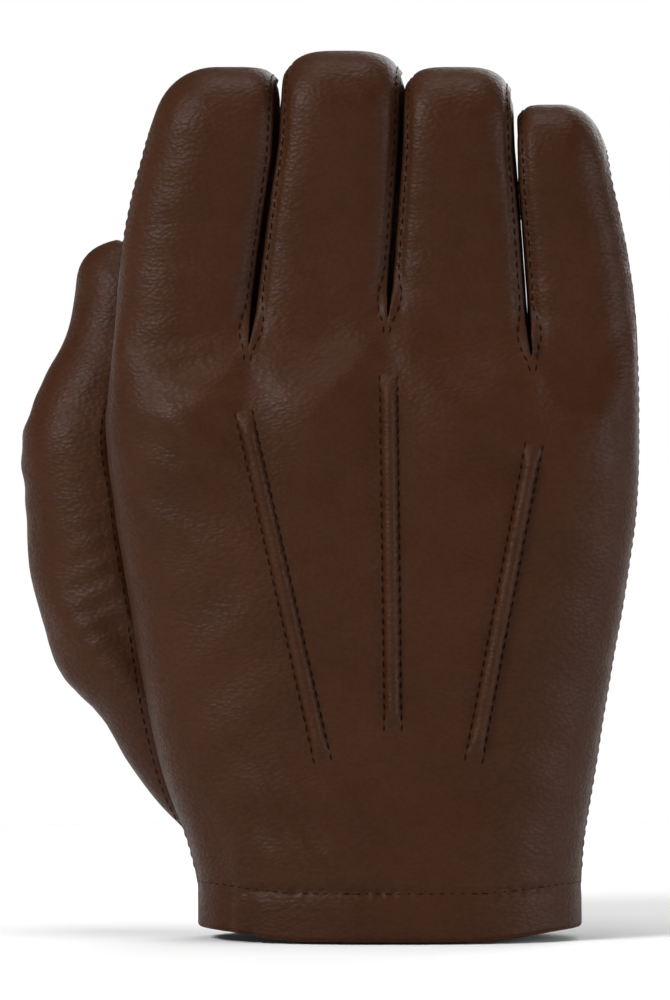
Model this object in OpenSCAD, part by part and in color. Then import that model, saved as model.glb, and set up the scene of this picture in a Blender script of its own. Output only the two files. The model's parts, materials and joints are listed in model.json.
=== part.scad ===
// Right-hand leather dress glove with three raised points on the back, in the curled shape of a worn hand.
// +Z runs up the hand from the cuff, -Y is the back of the hand and -X is the thumb side. Millimetres.
// Every leather piece is a sheet cut from a tube: hand, finger or thumb. Sheets that are sewn together
// share the line of their seam, because both take it from the same girth angle.

/* [Leather] */
// Thickness of the leather
leather = 0.9; // [0.7:0.1:1.2]
// Gap between a finger's upper part and the lower part that it slides under
slide_gap = 0.4; // [0.3:0.1:0.8]

/* [Cuff] */
// Width of the cuff, outside
cuff_w = 70; // [58:1:84]
// Depth of the cuff, outside
cuff_d = 45; // [37:1:54]
// Height of the turned hem
hem_h = 9; // [6:0.5:12]

/* [Hand] */
// Widest breadth, across the knuckles
hand_w = 97.6; // [86:0.1:117.2]
// Thickness of the hand at the heel of the palm
heel_d = 42; // [34:1:52]
// Thickness at the knuckles
knuckle_d = 33; // [29:1:40]
// Height of the knuckles above the cuff edge
knuckle_h = 95; // [88:1:99]
// Height of the finger roots above the cuff edge
root_h = 110; // [106:1:132]
// How far the hand's middle line leans to the thumb side at the knuckles
thumb_side_lean = 3.4; // [0:0.1:6]

/* [Fingers] */
// Breadth of the index finger
index_w = 25.6; // [21:0.1:31]
// Breadth of the middle finger
middle_w = 22.8; // [19:0.1:28]
// Breadth of the ring finger
ring_w = 22.2; // [18:0.1:27]
// Breadth of the little finger
little_w = 19.6; // [17:0.1:24]
// Gap between two fingers
finger_gap = 0.6; // [0.4:0.1:2]
// Depth of the index, middle and ring fingers, back to front
finger_d = 22; // [19:0.5:26.5]
// Depth of the little finger, back to front
little_d = 19; // [17:0.5:23]
// Height of the index finger's bent knuckle
index_top = 160; // [150:1:192]
// Height of the middle finger's bent knuckle
middle_top = 163; // [150:1:196]
// Height of the ring finger's bent knuckle
ring_top = 160; // [150:1:192]
// Height of the little finger's bent knuckle
little_top = 153; // [146:1:184]
// Length from a bent knuckle to the last finger joint
link_l = 19; // [15:0.5:23]
// Length from the last finger joint to the fingertip
tip_l = 25; // [21:0.5:30]
// Bend at the last finger joint, in degrees
tip_bend = 44; // [20:1:60]
// Reach of each upper finger, from the index, as a share of the middle one
reach_shares = [0.95, 1, 0.97, 0.82];

/* [Thumb] */
// Height of the thumb's knuckle
thumb_h = 88; // [84:1:94]
// How far the middle of the thumb's knuckle is past the hand's edge
thumb_past_edge = 4.5; // [4:0.1:8]
// How far the thumb's knuckle is from the middle of the cuff, towards the palm
thumb_deep = 20.5; // [20:0.5:24]
// Breadth of the thumb at its knuckle
thumb_w = 24.6; // [22:0.1:26]
// Length of the thumb from its knuckle to its tip
thumb_l = 41; // [34:1:46]

/* [Points] */
// Width of a raised point
point_w = 2.6; // [1.8:0.1:3.6]
// Height that a point stands out of the back
point_h = 1; // [0.6:0.1:1.6]
// Distance of the outer points' upper ends from the middle point
point_gap_top = 26.6; // [20:0.1:29]
// Distance of the outer points' lower ends from the middle point
point_gap_low = 13.4; // [9:0.1:18]
// Height of the middle point's upper end
point_top_h = 104; // [84:1:105]
// Height of the middle point's lower end
point_low_h = 37; // [30:1:42]

/* [Hidden] */
FINGERS = ["index", "middle", "ring", "little"];
FINGER_STRIPS = [
    ["back", "palm", "outer_side"],
    ["back", "palm", "thumb_side", "outer_side"],
    ["back", "palm", "thumb_side", "outer_side"],
    ["back", "palm", "thumb_side"]
];

leather_colour = [0.24, 0.14, 0.10];
seam_colour = [0.33, 0.20, 0.14];

// Girth angles: 0 is the middle of the back, 90 the little-finger side, 180 the palm, 270 the thumb side.
// A finger's side strip runs from side_low to side_high, and its mirror image from 360 - side_high.
side_low = 66;
side_high = 180 - side_low;
half_girth = 90;
// Where back and palm of a finger meet without a side strip, each stops just short of the seam line.
seam_side = 89.5;
ring_step = 12;
fan_step = 15;
// Squareness of an outline: 2 is an ellipse, and more is squarer.
finger_square = 2.6;
thumb_square = 2.2;
cuff_square = 2.3;
palm_square = 2.8;
knuckle_square = 3.4;
root_square = 7;
nest = leather + slide_gap;
// Extra room for the fingers between the hand's back and palm
root_ease = 0.4;

// The hand's tube, by height: its right and left edges, half depth and squareness.
finger_w = [index_w, middle_w, ring_w, little_w];
fingers_w = index_w + middle_w + ring_w + little_w + 3 * finger_gap;
cuff_half = cuff_w / 2;
root_mid = -0.75 * thumb_side_lean;
root_half_w = fingers_w / 2 + nest + root_ease;
// The knuckles are never narrower than the finger roots above them.
right_reach = max(hand_w / 2 - thumb_side_lean, root_half_w + root_mid) - cuff_half;
left_reach = max(hand_w / 2 + thumb_side_lean, root_half_w - root_mid) - cuff_half;
root_half_d = finger_d / 2 + nest + root_ease;
heel_share = 0.33;
thumb_fork_share = 0.62;
upper_share = 0.82;
function hand_z(share) = hem_h + share * (knuckle_h - hem_h);
right_xs = [
    [hem_h, cuff_half], [hand_z(heel_share), cuff_half + 0.35 * right_reach],
    [hand_z(thumb_fork_share), cuff_half + 0.77 * right_reach],
    [hand_z(upper_share), cuff_half + 0.94 * right_reach],
    [knuckle_h, cuff_half + right_reach], [root_h, root_mid + root_half_w]
];
left_xs = [
    [hem_h, cuff_half], [hand_z(heel_share), cuff_half + 0.46 * left_reach],
    [hand_z(thumb_fork_share), cuff_half + 0.74 * left_reach],
    [hand_z(upper_share), cuff_half + 0.90 * left_reach],
    [knuckle_h, cuff_half + left_reach], [root_h, root_half_w - root_mid]
];
half_depths = [
    [hem_h, cuff_d / 2], [hand_z(heel_share), heel_d / 2],
    [hand_z(thumb_fork_share), 0.3 * heel_d + 0.2 * knuckle_d],
    [knuckle_h, knuckle_d / 2], [root_h, root_half_d]
];
squareness = [
    [hem_h, cuff_square], [hand_z(thumb_fork_share), palm_square],
    [knuckle_h, knuckle_square], [root_h, root_square]
];
function hand_mid(z) = (lookup(z, right_xs) - lookup(z, left_xs)) / 2;
function hand_half(z) = (lookup(z, right_xs) + lookup(z, left_xs)) / 2;

// A point of a tube's outline: signed powers of sine and cosine round off a rectangle.
function signed_pow(v, p) = sign(v) * pow(abs(v), p);
function outline(angle, half_w, half_d, square) = [
    half_w * signed_pow(sin(angle), 2 / square),
    half_d * signed_pow(cos(angle), 2 / square)
];
full_girth = [for (a = [-half_girth : ring_step : 359 - half_girth]) a];
function angles(from, to) =
    let (n = ceil((to - from) / ring_step))
    [for (i = [0 : n]) from + (to - from) * i / n];

// A tube station is [x, y, z, tilt, half width, half depth, squareness]. Its plane holds the X axis,
// and the tube runs on at tilt degrees from +Z towards the palm.
function tube_point(s, angle, inset) =
    let (q = outline(angle, s[4] - inset, s[5] - inset, s[6]))
    [s[0] + q[0], s[1] - q[1] * cos(s[3]), s[2] + q[1] * sin(s[3])];
function sheet_rows(stations, angle_list, inset) = [
    for (s = stations) [for (a = angle_list) tube_point(s, a, inset)]
];

// A closed solid between an outer and an inner grid of points with the same rows and columns.
module sheet(outer, inner) {
    rows = len(outer);
    cols = len(outer[0]);
    n = rows * cols;
    function at(i, j) = i * cols + j;
    points = [for (grid = [outer, inner]) for (row = grid) for (p = row) p];
    faces = [
        for (i = [0 : rows - 2]) for (j = [0 : cols - 2]) each [
            [at(i, j), at(i + 1, j), at(i + 1, j + 1)],
            [at(i, j), at(i + 1, j + 1), at(i, j + 1)],
            [n + at(i, j), n + at(i + 1, j + 1), n + at(i + 1, j)],
            [n + at(i, j), n + at(i, j + 1), n + at(i + 1, j + 1)]
        ],
        for (j = [0 : cols - 2]) each concat(
            wall(at(0, j), at(0, j + 1), n),
            wall(at(rows - 1, j + 1), at(rows - 1, j), n)
        ),
        for (i = [0 : rows - 2]) each concat(
            wall(at(i + 1, 0), at(i, 0), n),
            wall(at(i, cols - 1), at(i + 1, cols - 1), n)
        )
    ];
    polyhedron(points, faces, convexity = 6);
}
function wall(a, b, n) = [[a, b, n + b], [a, n + b, n + a]];

module tube_sheet(stations, from, to, inset = 0, thickness = leather) {
    list = angles(from, to);
    sheet(sheet_rows(stations, list, inset), sheet_rows(stations, list, inset + thickness));
}

// Everything inside a tube, out to an inset from its outline.
module tube_core(stations, inset = 0) {
    rings = sheet_rows(stations, full_girth, inset);
    count = len(rings[0]);
    last = (len(rings) - 1) * count;
    points = [for (r = rings) for (p = r) p];
    faces = [
        for (i = [0 : len(rings) - 2]) for (j = [0 : count - 1])
            let (a = i * count + j, b = i * count + (j + 1) % count)
            each [[a, a + count, b + count], [a, b + count, b]],
        [for (j = [0 : count - 1]) j],
        [for (j = [count - 1 : -1 : 0]) last + j]
    ];
    polyhedron(points, faces, convexity = 6);
}

// Hand
hand_levels = concat(
    [0], [for (share = [0 : 0.1 : 1.01]) hand_z(share)], [(knuckle_h + root_h) / 2]
);
// The palm stops short of the roots, so that the fingers can fold over its edge.
palm_gap = 8;
palm_top_h = root_h - palm_gap;
function hand_station(z) =
    [hand_mid(z), 0, z, 0, hand_half(z), lookup(z, half_depths), lookup(z, squareness)];
function hand_stations(top) =
    [for (z = concat([for (z = hand_levels) if (z < top - 1) z], [top])) hand_station(z)];

module back_panel() {
    color(leather_colour)
        tube_sheet(hand_stations(root_h), -half_girth, half_girth);
}

module palm_panel() {
    color(leather_colour)
        difference() {
            tube_sheet(hand_stations(palm_top_h), half_girth, 360 - half_girth);
            tube_core(thumb_root_stations, leather);
        }
}

// The turned-in edge of the cuff, a flat oval band inside both panels.
facing_gap = 0.1;
module cuff_oval(inset) {
    polygon([for (a = full_girth) outline(a, cuff_half - inset, cuff_d / 2 - inset, cuff_square)]);
}
module hem_facing() {
    color(seam_colour)
        linear_extrude(hem_h)
            difference() {
                cuff_oval(leather + facing_gap);
                cuff_oval(2 * leather + facing_gap);
            }
}

// Points: raised ridges on the back. Side -1 is the thumb side, and 0 is the middle point.
point_rows = 12;
point_drop = 8;
side_point_drop = 5;
point_lift = 0.2;
// A point's breadth at its ends as a share of its full breadth, and how fast it widens
point_end = 0.25;
point_widening = 4;
// How much lower a point's two long edges are than its middle, as a share of its height
point_fall = 0.6;
function back_y(x, z) =
    let (off = abs(x - hand_mid(z)) / hand_half(z), square = lookup(z, squareness))
    -lookup(z, half_depths) * pow(1 - pow(off, square), 1 / square);
module back_point(side) {
    low_h = side == 0 ? point_low_h : point_low_h - side_point_drop;
    top_h = side == 0 ? point_top_h : point_top_h - point_drop;
    function row(share, height) =
        let (
            z = low_h + share * (top_h - low_h),
            x = side * (point_gap_low + share * (point_gap_top - point_gap_low)),
            half_w = point_w / 2 * min(1, point_end + point_widening * min(share, 1 - share))
        )
        [
            for (across = [-1, -0.4, 0.4, 1])
                let (rise = height * (1 - point_fall * pow(across, 4)))
                [x + across * half_w, back_y(x + across * half_w, z) - point_lift - rise, z]
        ];
    function rows(height) = [for (k = [0 : point_rows]) row(k / point_rows, height)];
    color(leather_colour) sheet(rows(point_h), rows(0));
}

// Fingers, numbered from the index. The lower part turns at the root, and the upper part turns at the
// bent knuckle. Each part's back runs on as a fan about its hinge line inside the part that carries it.
finger_half_d = [finger_d / 2, finger_d / 2, finger_d / 2, little_d / 2];
tops = [index_top, middle_top, ring_top, little_top];
function width_before(f) = f == 0 ? 0 : finger_w[f - 1] + finger_gap + width_before(f - 1);
function finger_x(f) = root_mid - fingers_w / 2 + width_before(f) + finger_w[f] / 2;
function bend_h(f) = tops[f] - finger_half_d[f] + nest;
function fan(centre, half_w, half_d, square, from, to) = [
    for (tilt = [from : fan_step : to])
        [centre[0], centre[1], centre[2], tilt, half_w, half_d, square]
];

root_fan_from = -60;
palm_tuck = palm_gap + 1;
bend_room = 2;
lower_rows = 5;
function bend_gap(f) = finger_half_d[f] + bend_room;
function lower_station(f, z) =
    [finger_x(f), 0, z, 0, finger_w[f] / 2, finger_half_d[f], finger_square];
function lower_run(f, from_z, to_z) =
    [for (k = [0 : lower_rows]) lower_station(f, from_z + (to_z - from_z) * k / lower_rows)];

module finger_lower_back(f) {
    centre = [finger_x(f), 0, root_h];
    turned = fan(centre, finger_w[f] / 2, finger_half_d[f], finger_square, root_fan_from, -1);
    color(leather_colour)
        tube_sheet(concat(turned, lower_run(f, root_h, bend_h(f))), back_from(f), back_to(f));
}
module finger_lower_palm(f) {
    color(leather_colour)
        tube_sheet(
            lower_run(f, root_h - palm_tuck, bend_h(f) - bend_gap(f)),
            180 - back_to(f), 180 - back_from(f)
        );
}
function back_from(f) = f == 0 ? -seam_side : -side_low;
function back_to(f) = f == 3 ? seam_side : side_low;

// A side strip's upper edge slopes from the hinge line at the back to the folding gap at the palm.
module finger_lower_side(f, thumb_side) {
    list = side_angles(thumb_side);
    function share(a) = (abs(a) - side_low) / (side_high - side_low);
    function rows(inset) = [
        for (k = [0 : lower_rows]) [
            for (a = list)
                let (top = bend_h(f) - share(a) * bend_gap(f))
                tube_point(lower_station(f, root_h + (top - root_h) * k / lower_rows), a, inset)
        ]
    ];
    color(leather_colour) sheet(rows(0), rows(leather));
}
function side_angles(thumb_side) =
    thumb_side ? angles(-side_high, -side_low) : angles(side_low, side_high);

// An upper finger's path: straight from the bent knuckle to the last joint, a bend, and the tip.
bend_l = 9;
path_step = 1.5;
tip_round = 9;
tip_shares = [0, 0.4, 0.65, 0.83, 0.95, 1];
function path_tilt(s, link) = 90 + tip_bend * min(1, max(0, (s - link + bend_l / 2) / bend_l));
function path_walk(n, link) =
    n == 0 ? [[0, 0, 0]] :
    let (
        before = path_walk(n - 1, link),
        last = before[n - 1],
        tilt = path_tilt((n - 0.5) * path_step, link)
    )
    concat(before, [last + path_step * [1, sin(tilt), cos(tilt)]]);
function thinned(s, total, round_l) =
    let (t = min(1, max(0, (s - total + round_l) / round_l)))
    sqrt(max(0.004, 1 - t * t));
function marks(from, total, step) = concat(
    [for (s = [from : step : total - tip_round - 1]) s],
    [for (t = tip_shares) total - tip_round * (1 - t)]
);
function upper_stations(f, inset) =
    let (
        link = link_l * reach_shares[f],
        total = (link_l + tip_l) * reach_shares[f],
        walk = path_walk(ceil(total / path_step) + 1, link),
        ys = [for (w = walk) [w[0], w[1]]],
        zs = [for (w = walk) [w[0], w[2]]],
        half_w = finger_w[f] / 2 - nest - inset,
        half_d = finger_half_d[f] - nest - inset
    )
    [
        for (s = marks(0, total, 3.5))
            let (thin = thinned(s, total - inset, tip_round - inset))
            [
                finger_x(f), lookup(s, ys), bend_h(f) + lookup(s, zs), path_tilt(s, link),
                inset + half_w * thin, inset + half_d * thin, finger_square
            ]
    ];
module finger_upper(f, list, fanned) {
    centre = [finger_x(f), 0, bend_h(f)];
    half_w = finger_w[f] / 2 - nest;
    half_d = finger_half_d[f] - nest;
    start = fanned ? fan(centre, half_w, half_d, finger_square, -fan_step, 89) : [];
    color(leather_colour)
        sheet(
            sheet_rows(concat(start, upper_stations(f, 0)), list, 0),
            sheet_rows(concat(start, upper_stations(f, leather)), list, leather)
        );
}
module finger_upper_back(f) {
    finger_upper(f, angles(back_from(f), back_to(f)), true);
}
module finger_upper_palm(f) {
    finger_upper(f, angles(180 - back_to(f), 180 - back_from(f)), false);
}
module finger_upper_side(f, thumb_side) {
    finger_upper(f, side_angles(thumb_side), false);
}

// Thumb: the root rises out of the palm to the knuckle, and the tip turns on a hinge line along X.
thumb_half = thumb_w / 2;
thumb_out = lookup(thumb_h, left_xs) + thumb_past_edge;
thumb_foot_h = 22;
thumb_foot_deep = 0.55;
thumb_lean = 0.22;
thumb_tilt = 8;
thumb_taper = 0.0055;
// The tip's palm starts level with the edge of the root's palm.
thumb_room = 6;
thumb_palm_from = -4.5;
thumb_fan_from = -37;
thumb_xs = [
    [0, 0.47 * thumb_out], [0.14, 0.61 * thumb_out], [0.24, 0.70 * thumb_out],
    [0.36, 0.816 * thumb_out], [0.52, 0.91 * thumb_out], [0.64, 0.936 * thumb_out],
    [0.88, 0.973 * thumb_out], [1, thumb_out]
];
thumb_swell = [[0, 1.02], [0.24, 1.09], [0.52, 1.12], [0.75, 1.07], [1, 1]];
thumb_root_shares = [0, 0.14, 0.24, 0.36, 0.52, 0.64, 0.75, 0.88, 1];
// Two rings of the thumb's root are never closer than this share of its height.
least_share = 0.02;
function thumb_root_z(share) = thumb_foot_h + share * (thumb_h - thumb_foot_h);
function thumb_root_station(share) =
    let (half = thumb_half * lookup(share, thumb_swell))
    [
        -lookup(share, thumb_xs), thumb_deep * (thumb_foot_deep + (1 - thumb_foot_deep) * share),
        thumb_root_z(share), 0, half, half, thumb_square
    ];
thumb_root_stations = [for (share = thumb_root_shares) thumb_root_station(share)];
function thumb_root_to(z) =
    let (top = (z - thumb_foot_h) / (thumb_h - thumb_foot_h))
    [
        for (share = concat([for (s = thumb_root_shares) if (s < top - least_share) s], [top]))
            thumb_root_station(share)
    ];
module thumb_root_back() {
    color(leather_colour)
        difference() {
            tube_sheet(thumb_root_to(thumb_h), -half_girth, half_girth);
            tube_core(hand_stations(root_h));
        }
}
module thumb_root_palm() {
    color(leather_colour)
        difference() {
            tube_sheet(thumb_root_to(thumb_h - thumb_room), half_girth, 360 - half_girth);
            tube_core(hand_stations(root_h));
        }
}

function thumb_tip_x(s) =
    s < 0 ? -lookup(1 + s / (thumb_h - thumb_foot_h), thumb_xs) : -thumb_out + thumb_lean * s;
function thumb_tip_stations(from, inset) = [
    for (s = marks(from, thumb_l, 5))
        let (
            thin = thinned(s, thumb_l - inset, tip_round - inset),
            half = (thumb_half - nest) * (1 - thumb_taper * max(0, s)) - inset
        )
        [
            thumb_tip_x(s), thumb_deep + s * sin(thumb_tilt), thumb_h + s * cos(thumb_tilt),
            thumb_tilt, inset + half * thin, inset + half * thin, thumb_square
        ]
];
module thumb_tip_back() {
    half = thumb_half - nest;
    centre = [-thumb_out, thumb_deep, thumb_h];
    start = fan(centre, half, half, thumb_square, thumb_fan_from, thumb_tilt - 1);
    list = angles(-seam_side, seam_side);
    color(leather_colour)
        sheet(
            sheet_rows(concat(start, thumb_tip_stations(0, 0)), list, 0),
            sheet_rows(concat(start, thumb_tip_stations(0, leather)), list, leather)
        );
}
module thumb_tip_palm() {
    list = angles(180 - seam_side, 180 + seam_side);
    color(leather_colour)
        sheet(
            sheet_rows(thumb_tip_stations(thumb_palm_from, 0), list, 0),
            sheet_rows(thumb_tip_stations(thumb_palm_from, leather), list, leather)
        );
}

back_panel();
palm_panel();
hem_facing();
back_point(-1);  // point_index
back_point(0);  // point_middle
back_point(1);  // point_ring
thumb_root_back();
thumb_root_palm();
thumb_tip_back();
thumb_tip_palm();
finger_lower_back(0);  // index_lower_back
finger_lower_palm(0);  // index_lower_palm
finger_lower_side(0, false);  // index_lower_outer_side
finger_lower_back(1);  // middle_lower_back
finger_lower_palm(1);  // middle_lower_palm
finger_lower_side(1, true);  // middle_lower_thumb_side
finger_lower_side(1, false);  // middle_lower_outer_side
finger_lower_back(2);  // ring_lower_back
finger_lower_palm(2);  // ring_lower_palm
finger_lower_side(2, true);  // ring_lower_thumb_side
finger_lower_side(2, false);  // ring_lower_outer_side
finger_lower_back(3);  // little_lower_back
finger_lower_palm(3);  // little_lower_palm
finger_lower_side(3, true);  // little_lower_thumb_side
finger_upper_back(0);  // index_upper_back
finger_upper_palm(0);  // index_upper_palm
finger_upper_side(0, false);  // index_upper_outer_side
finger_upper_back(1);  // middle_upper_back
finger_upper_palm(1);  // middle_upper_palm
finger_upper_side(1, true);  // middle_upper_thumb_side
finger_upper_side(1, false);  // middle_upper_outer_side
finger_upper_back(2);  // ring_upper_back
finger_upper_palm(2);  // ring_upper_palm
finger_upper_side(2, true);  // ring_upper_thumb_side
finger_upper_side(2, false);  // ring_upper_outer_side
finger_upper_back(3);  // little_upper_back
finger_upper_palm(3);  // little_upper_palm
finger_upper_side(3, true);  // little_upper_thumb_side
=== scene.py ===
import json
import math

import bpy
import numpy as np
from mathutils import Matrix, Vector
from mathutils.bvhtree import BVHTree

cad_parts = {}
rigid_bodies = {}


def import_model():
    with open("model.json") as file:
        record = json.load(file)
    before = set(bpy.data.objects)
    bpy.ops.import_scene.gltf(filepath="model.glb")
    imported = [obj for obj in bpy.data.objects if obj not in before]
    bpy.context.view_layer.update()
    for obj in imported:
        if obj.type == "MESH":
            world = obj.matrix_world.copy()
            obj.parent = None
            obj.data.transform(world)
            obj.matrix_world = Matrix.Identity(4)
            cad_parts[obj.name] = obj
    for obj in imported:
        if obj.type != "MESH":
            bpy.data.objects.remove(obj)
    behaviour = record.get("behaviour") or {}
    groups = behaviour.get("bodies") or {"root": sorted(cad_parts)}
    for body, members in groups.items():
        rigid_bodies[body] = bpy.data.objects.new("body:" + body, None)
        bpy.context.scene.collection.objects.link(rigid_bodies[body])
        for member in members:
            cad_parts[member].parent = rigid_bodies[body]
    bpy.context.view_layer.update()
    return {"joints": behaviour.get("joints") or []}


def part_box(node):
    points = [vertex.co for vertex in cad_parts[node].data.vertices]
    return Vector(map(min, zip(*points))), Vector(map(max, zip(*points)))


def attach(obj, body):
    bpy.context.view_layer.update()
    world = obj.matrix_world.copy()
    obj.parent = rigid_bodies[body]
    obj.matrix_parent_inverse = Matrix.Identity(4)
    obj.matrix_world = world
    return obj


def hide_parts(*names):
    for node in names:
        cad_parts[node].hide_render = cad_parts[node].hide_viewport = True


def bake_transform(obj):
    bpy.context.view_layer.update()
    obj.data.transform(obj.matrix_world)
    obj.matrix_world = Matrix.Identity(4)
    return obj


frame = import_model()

bl_info = {
    "name": "Leather Dress Glove",
    "version": (1, 0, 0),
    "blender": (4, 5, 0),
    "location": "View3D > Sidebar > Glove",
    "description": "Builds a sewn leather glove over its rigid frame, piece by piece",
    "category": "Add Mesh",
}

FINGERS = ("index", "middle", "ring", "little")
JOINTS = {joint["name"]: joint for joint in frame["joints"]}


def hinge(name):
    """Where a joint's hinge line is, in metres."""
    return np.array(JOINTS[name]["pos_m"], float)


# The frame's sizes, in metres: +Z up the hand, -Y out of its back and -X to the thumb side.
ROOT_H = hinge("index_root")[2]
HAND_LOW, HAND_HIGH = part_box("back_panel")
HEM_LOW, HEM_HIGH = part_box("hem_facing")
CUFF_HALF_W = (HEM_HIGH[0] - HEM_LOW[0]) / 2 + 0.001
CUFF_HALF_D = (HEM_HIGH[1] - HEM_LOW[1]) / 2 + 0.001
HEM_H = HEM_HIGH[2]
FINGER_TOPS = [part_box(f"{name}_upper_back")[1][2] for name in FINGERS]
FINGER_HALF_D = [
    (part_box(f"{name}_lower_palm")[1][1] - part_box(f"{name}_lower_back")[0][1]) / 2 for name in FINGERS
]
THUMB_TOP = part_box("thumb_tip_back")[1][2]


# ---------------------------------------------------------------- sizes and looks a user would change

def length(name, description, default, low=0.0, high=1.0):
    return bpy.props.FloatProperty(
        name=name, description=description, default=default, min=low, max=high,
        unit="LENGTH", precision=5,
    )


def share(name, description, default, low=0.0, high=1.0):
    return bpy.props.FloatProperty(
        name=name, description=description, default=default, min=low, max=high, subtype="FACTOR",
    )


def colour(name, description, default):
    return bpy.props.FloatVectorProperty(
        name=name, description=description, default=default, size=4, min=0.0, max=1.0,
        subtype="COLOR",
    )


class GloveShape(bpy.types.PropertyGroup):
    """Sizes of the leather and of the body under it."""

    leather: length("Leather", "Thickness of the leather", 0.0009)
    row_step: length("Row spacing", "Height of one row of the leather's mesh", 0.001, 0.0004)
    knuckle_rise: length("Knuckle rise", "Height of the bumps over the knuckles", 0.0022)
    web_dip: length("Web dip", "Depth of the hollow below each finger slit", 0.0017)
    fold_depth: length("Fold depth", "Depth of the soft folds at the wrist and thumb", 0.00042)
    corner_lift: length("Corner lift", "How far the cuff's edge rises at its two sides", 0.0017)
    finger_gap: length("Finger gap", "Gap between two fingers", 0.00026)
    finger_press: length("Finger press", "How far the fingers' touching sides curve", 0.00026)


class GloveSeams(bpy.types.PropertyGroup):
    """Sizes of the seams, the points and the thread."""

    slit_half_angle: bpy.props.FloatProperty(
        name="Slit seam angle", description="Girth angle of the seams beside the finger slits",
        default=math.radians(65), subtype="ANGLE",
    )
    edge_rise: length("Edge rise", "How far a lapped edge stands above the side strip", 0.00042)
    groove: length("Groove", "Depth of a plain seam's groove", 0.0007)
    stitch_inset: length("Stitch inset", "Distance of a stitch row from its edge", 0.0020)
    stitch_pitch: length("Stitch pitch", "Distance from one stitch to the next", 0.0019, 0.0005)
    stitch_length: length("Stitch length", "Length of one stitch", 0.0014)
    thread: length("Thread", "Thickness of the thread", 0.00036)
    point_w: length("Point width", "Width of a raised point", 0.0033)
    point_h: length("Point height", "Height that a point stands out of the back", 0.0015)


class GloveLooks(bpy.types.PropertyGroup):
    """Colours and finish."""

    dark: colour("Leather, dark", "Deepest brown of the dyed leather", (0.0300, 0.0082, 0.0016, 1))
    light: colour("Leather, light", "Lightest brown of the dyed leather", (0.0390, 0.0122, 0.0034, 1))
    thread_colour: colour("Thread", "Colour of the thread", (0.0120, 0.0036, 0.0016, 1))
    roughness: share("Roughness", "Roughness of the leather's face", 0.44)
    floor: colour("Floor", "Colour of the floor", (0.86, 0.86, 0.86, 1))


# ---------------------------------------------------------------- curves and outlines

def eased(at, heights, values):
    """A smooth curve through the given values, held level past both ends."""
    heights = np.asarray(heights, float)
    values = np.asarray(values, float)
    slopes = np.gradient(values, heights)
    at = np.clip(np.asarray(at, float), heights[0], heights[-1])
    k = np.clip(np.searchsorted(heights, at, side="right") - 1, 0, len(heights) - 2)
    step = heights[k + 1] - heights[k]
    t = (at - heights[k]) / step
    return (
        (2 * t**3 - 3 * t**2 + 1) * values[k] + (t**3 - 2 * t**2 + t) * step * slopes[k]
        + (3 * t**2 - 2 * t**3) * values[k + 1] + (t**3 - t**2) * step * slopes[k + 1]
    )


def smoothstep(t):
    t = np.clip(t, 0, 1)
    return t * t * (3 - 2 * t)


def bump(distance, width):
    return np.exp(-((distance / width) ** 2))


def signed_power(value, power):
    return np.sign(value) * np.abs(value) ** power


def along_run(at, run, values):
    """Rows of three values, read off at the given distances along a run."""
    return np.stack([np.interp(at, run, values[:, axis]) for axis in range(3)], -1)


# The hand's outline. Each row gives a height as a share of the finger roots' height, then the thumb
# side and the outer side as shares of the way from the cuff's half width to the knuckles', the back's
# and the palm's depth as shares of the cuff's half depth, and how square the outline is.
HAND_STATIONS = np.array([
    (0.00, 0.00, 0.00, 1.000, 1.00, 2.30),
    (0.08, 0.02, 0.00, 1.000, 1.00, 2.30),
    (0.14, 0.10, 0.03, 0.985, 1.00, 2.35),
    (0.27, 0.38, 0.23, 0.940, 0.99, 2.50),
    (0.43, 0.60, 0.50, 0.900, 0.97, 2.60),
    (0.57, 0.75, 0.76, 0.870, 0.93, 2.75),
    (0.73, 0.91, 0.98, 0.810, 0.84, 3.10),
    (0.86, 0.99, 1.01, 0.740, 0.75, 3.50),
    (0.95, 0.93, 1.00, 0.670, 0.67, 3.90),
    (1.02, 0.88, 0.97, 0.600, 0.60, 4.30),
    (1.10, 0.85, 0.94, 0.550, 0.55, 4.60),
])
HAND_SHARES, THUMB_EDGE, OUTER_EDGE, BACK_DEPTH, PALM_DEPTH, SQUARENESS = HAND_STATIONS.T
HAND_HEIGHTS = HAND_SHARES * ROOT_H


def hand_edges(z):
    """The hand's two edges at a height: thumb side and little-finger side."""
    left_reach = -HAND_LOW[0] - CUFF_HALF_W
    right_reach = HAND_HIGH[0] - CUFF_HALF_W
    left = -CUFF_HALF_W - left_reach * eased(z, HAND_HEIGHTS, THUMB_EDGE)
    right = CUFF_HALF_W + right_reach * eased(z, HAND_HEIGHTS, OUTER_EDGE)
    return left, right


# Each line between two fingers: its place at the web and at the bent knuckles, the height of the
# web, and how late the line turns. The first and the last are the hand's own edges, with no web.
FINGER_LINES = (
    (-0.0502, -0.0424, None, 2.0),
    (-0.0253, -0.0199, 0.108, 1.0),
    (-0.0005, 0.0031, 0.113, 1.0),
    (0.0256, 0.0226, 0.106, 1.0),
    (0.0453, 0.0392, None, 1.6),
)
KNUCKLE_HEIGHTS = (0.096, 0.099, 0.097, 0.091)
KNUCKLE_SHARES = (1.0, 1.0, 0.5, 0.55)


def finger_line(k, z):
    """The line between fingers k - 1 and k, at a height."""
    low, high, _, late = FINGER_LINES[k]
    top = FINGER_TOPS[min(max(k - 1, 0), 3)] - 0.008
    t = np.clip((np.asarray(z, float) - ROOT_H) / (top - ROOT_H), -1, 1)
    return low + (high - low) * signed_power(t, late) * (t > 0) + (high - low) * np.minimum(t, 0)


def web_height(k):
    """Height of the web under a line, or of its neighbour's where the line has none."""
    return FINGER_LINES[min(max(k, 1), 3)][2]


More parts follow.
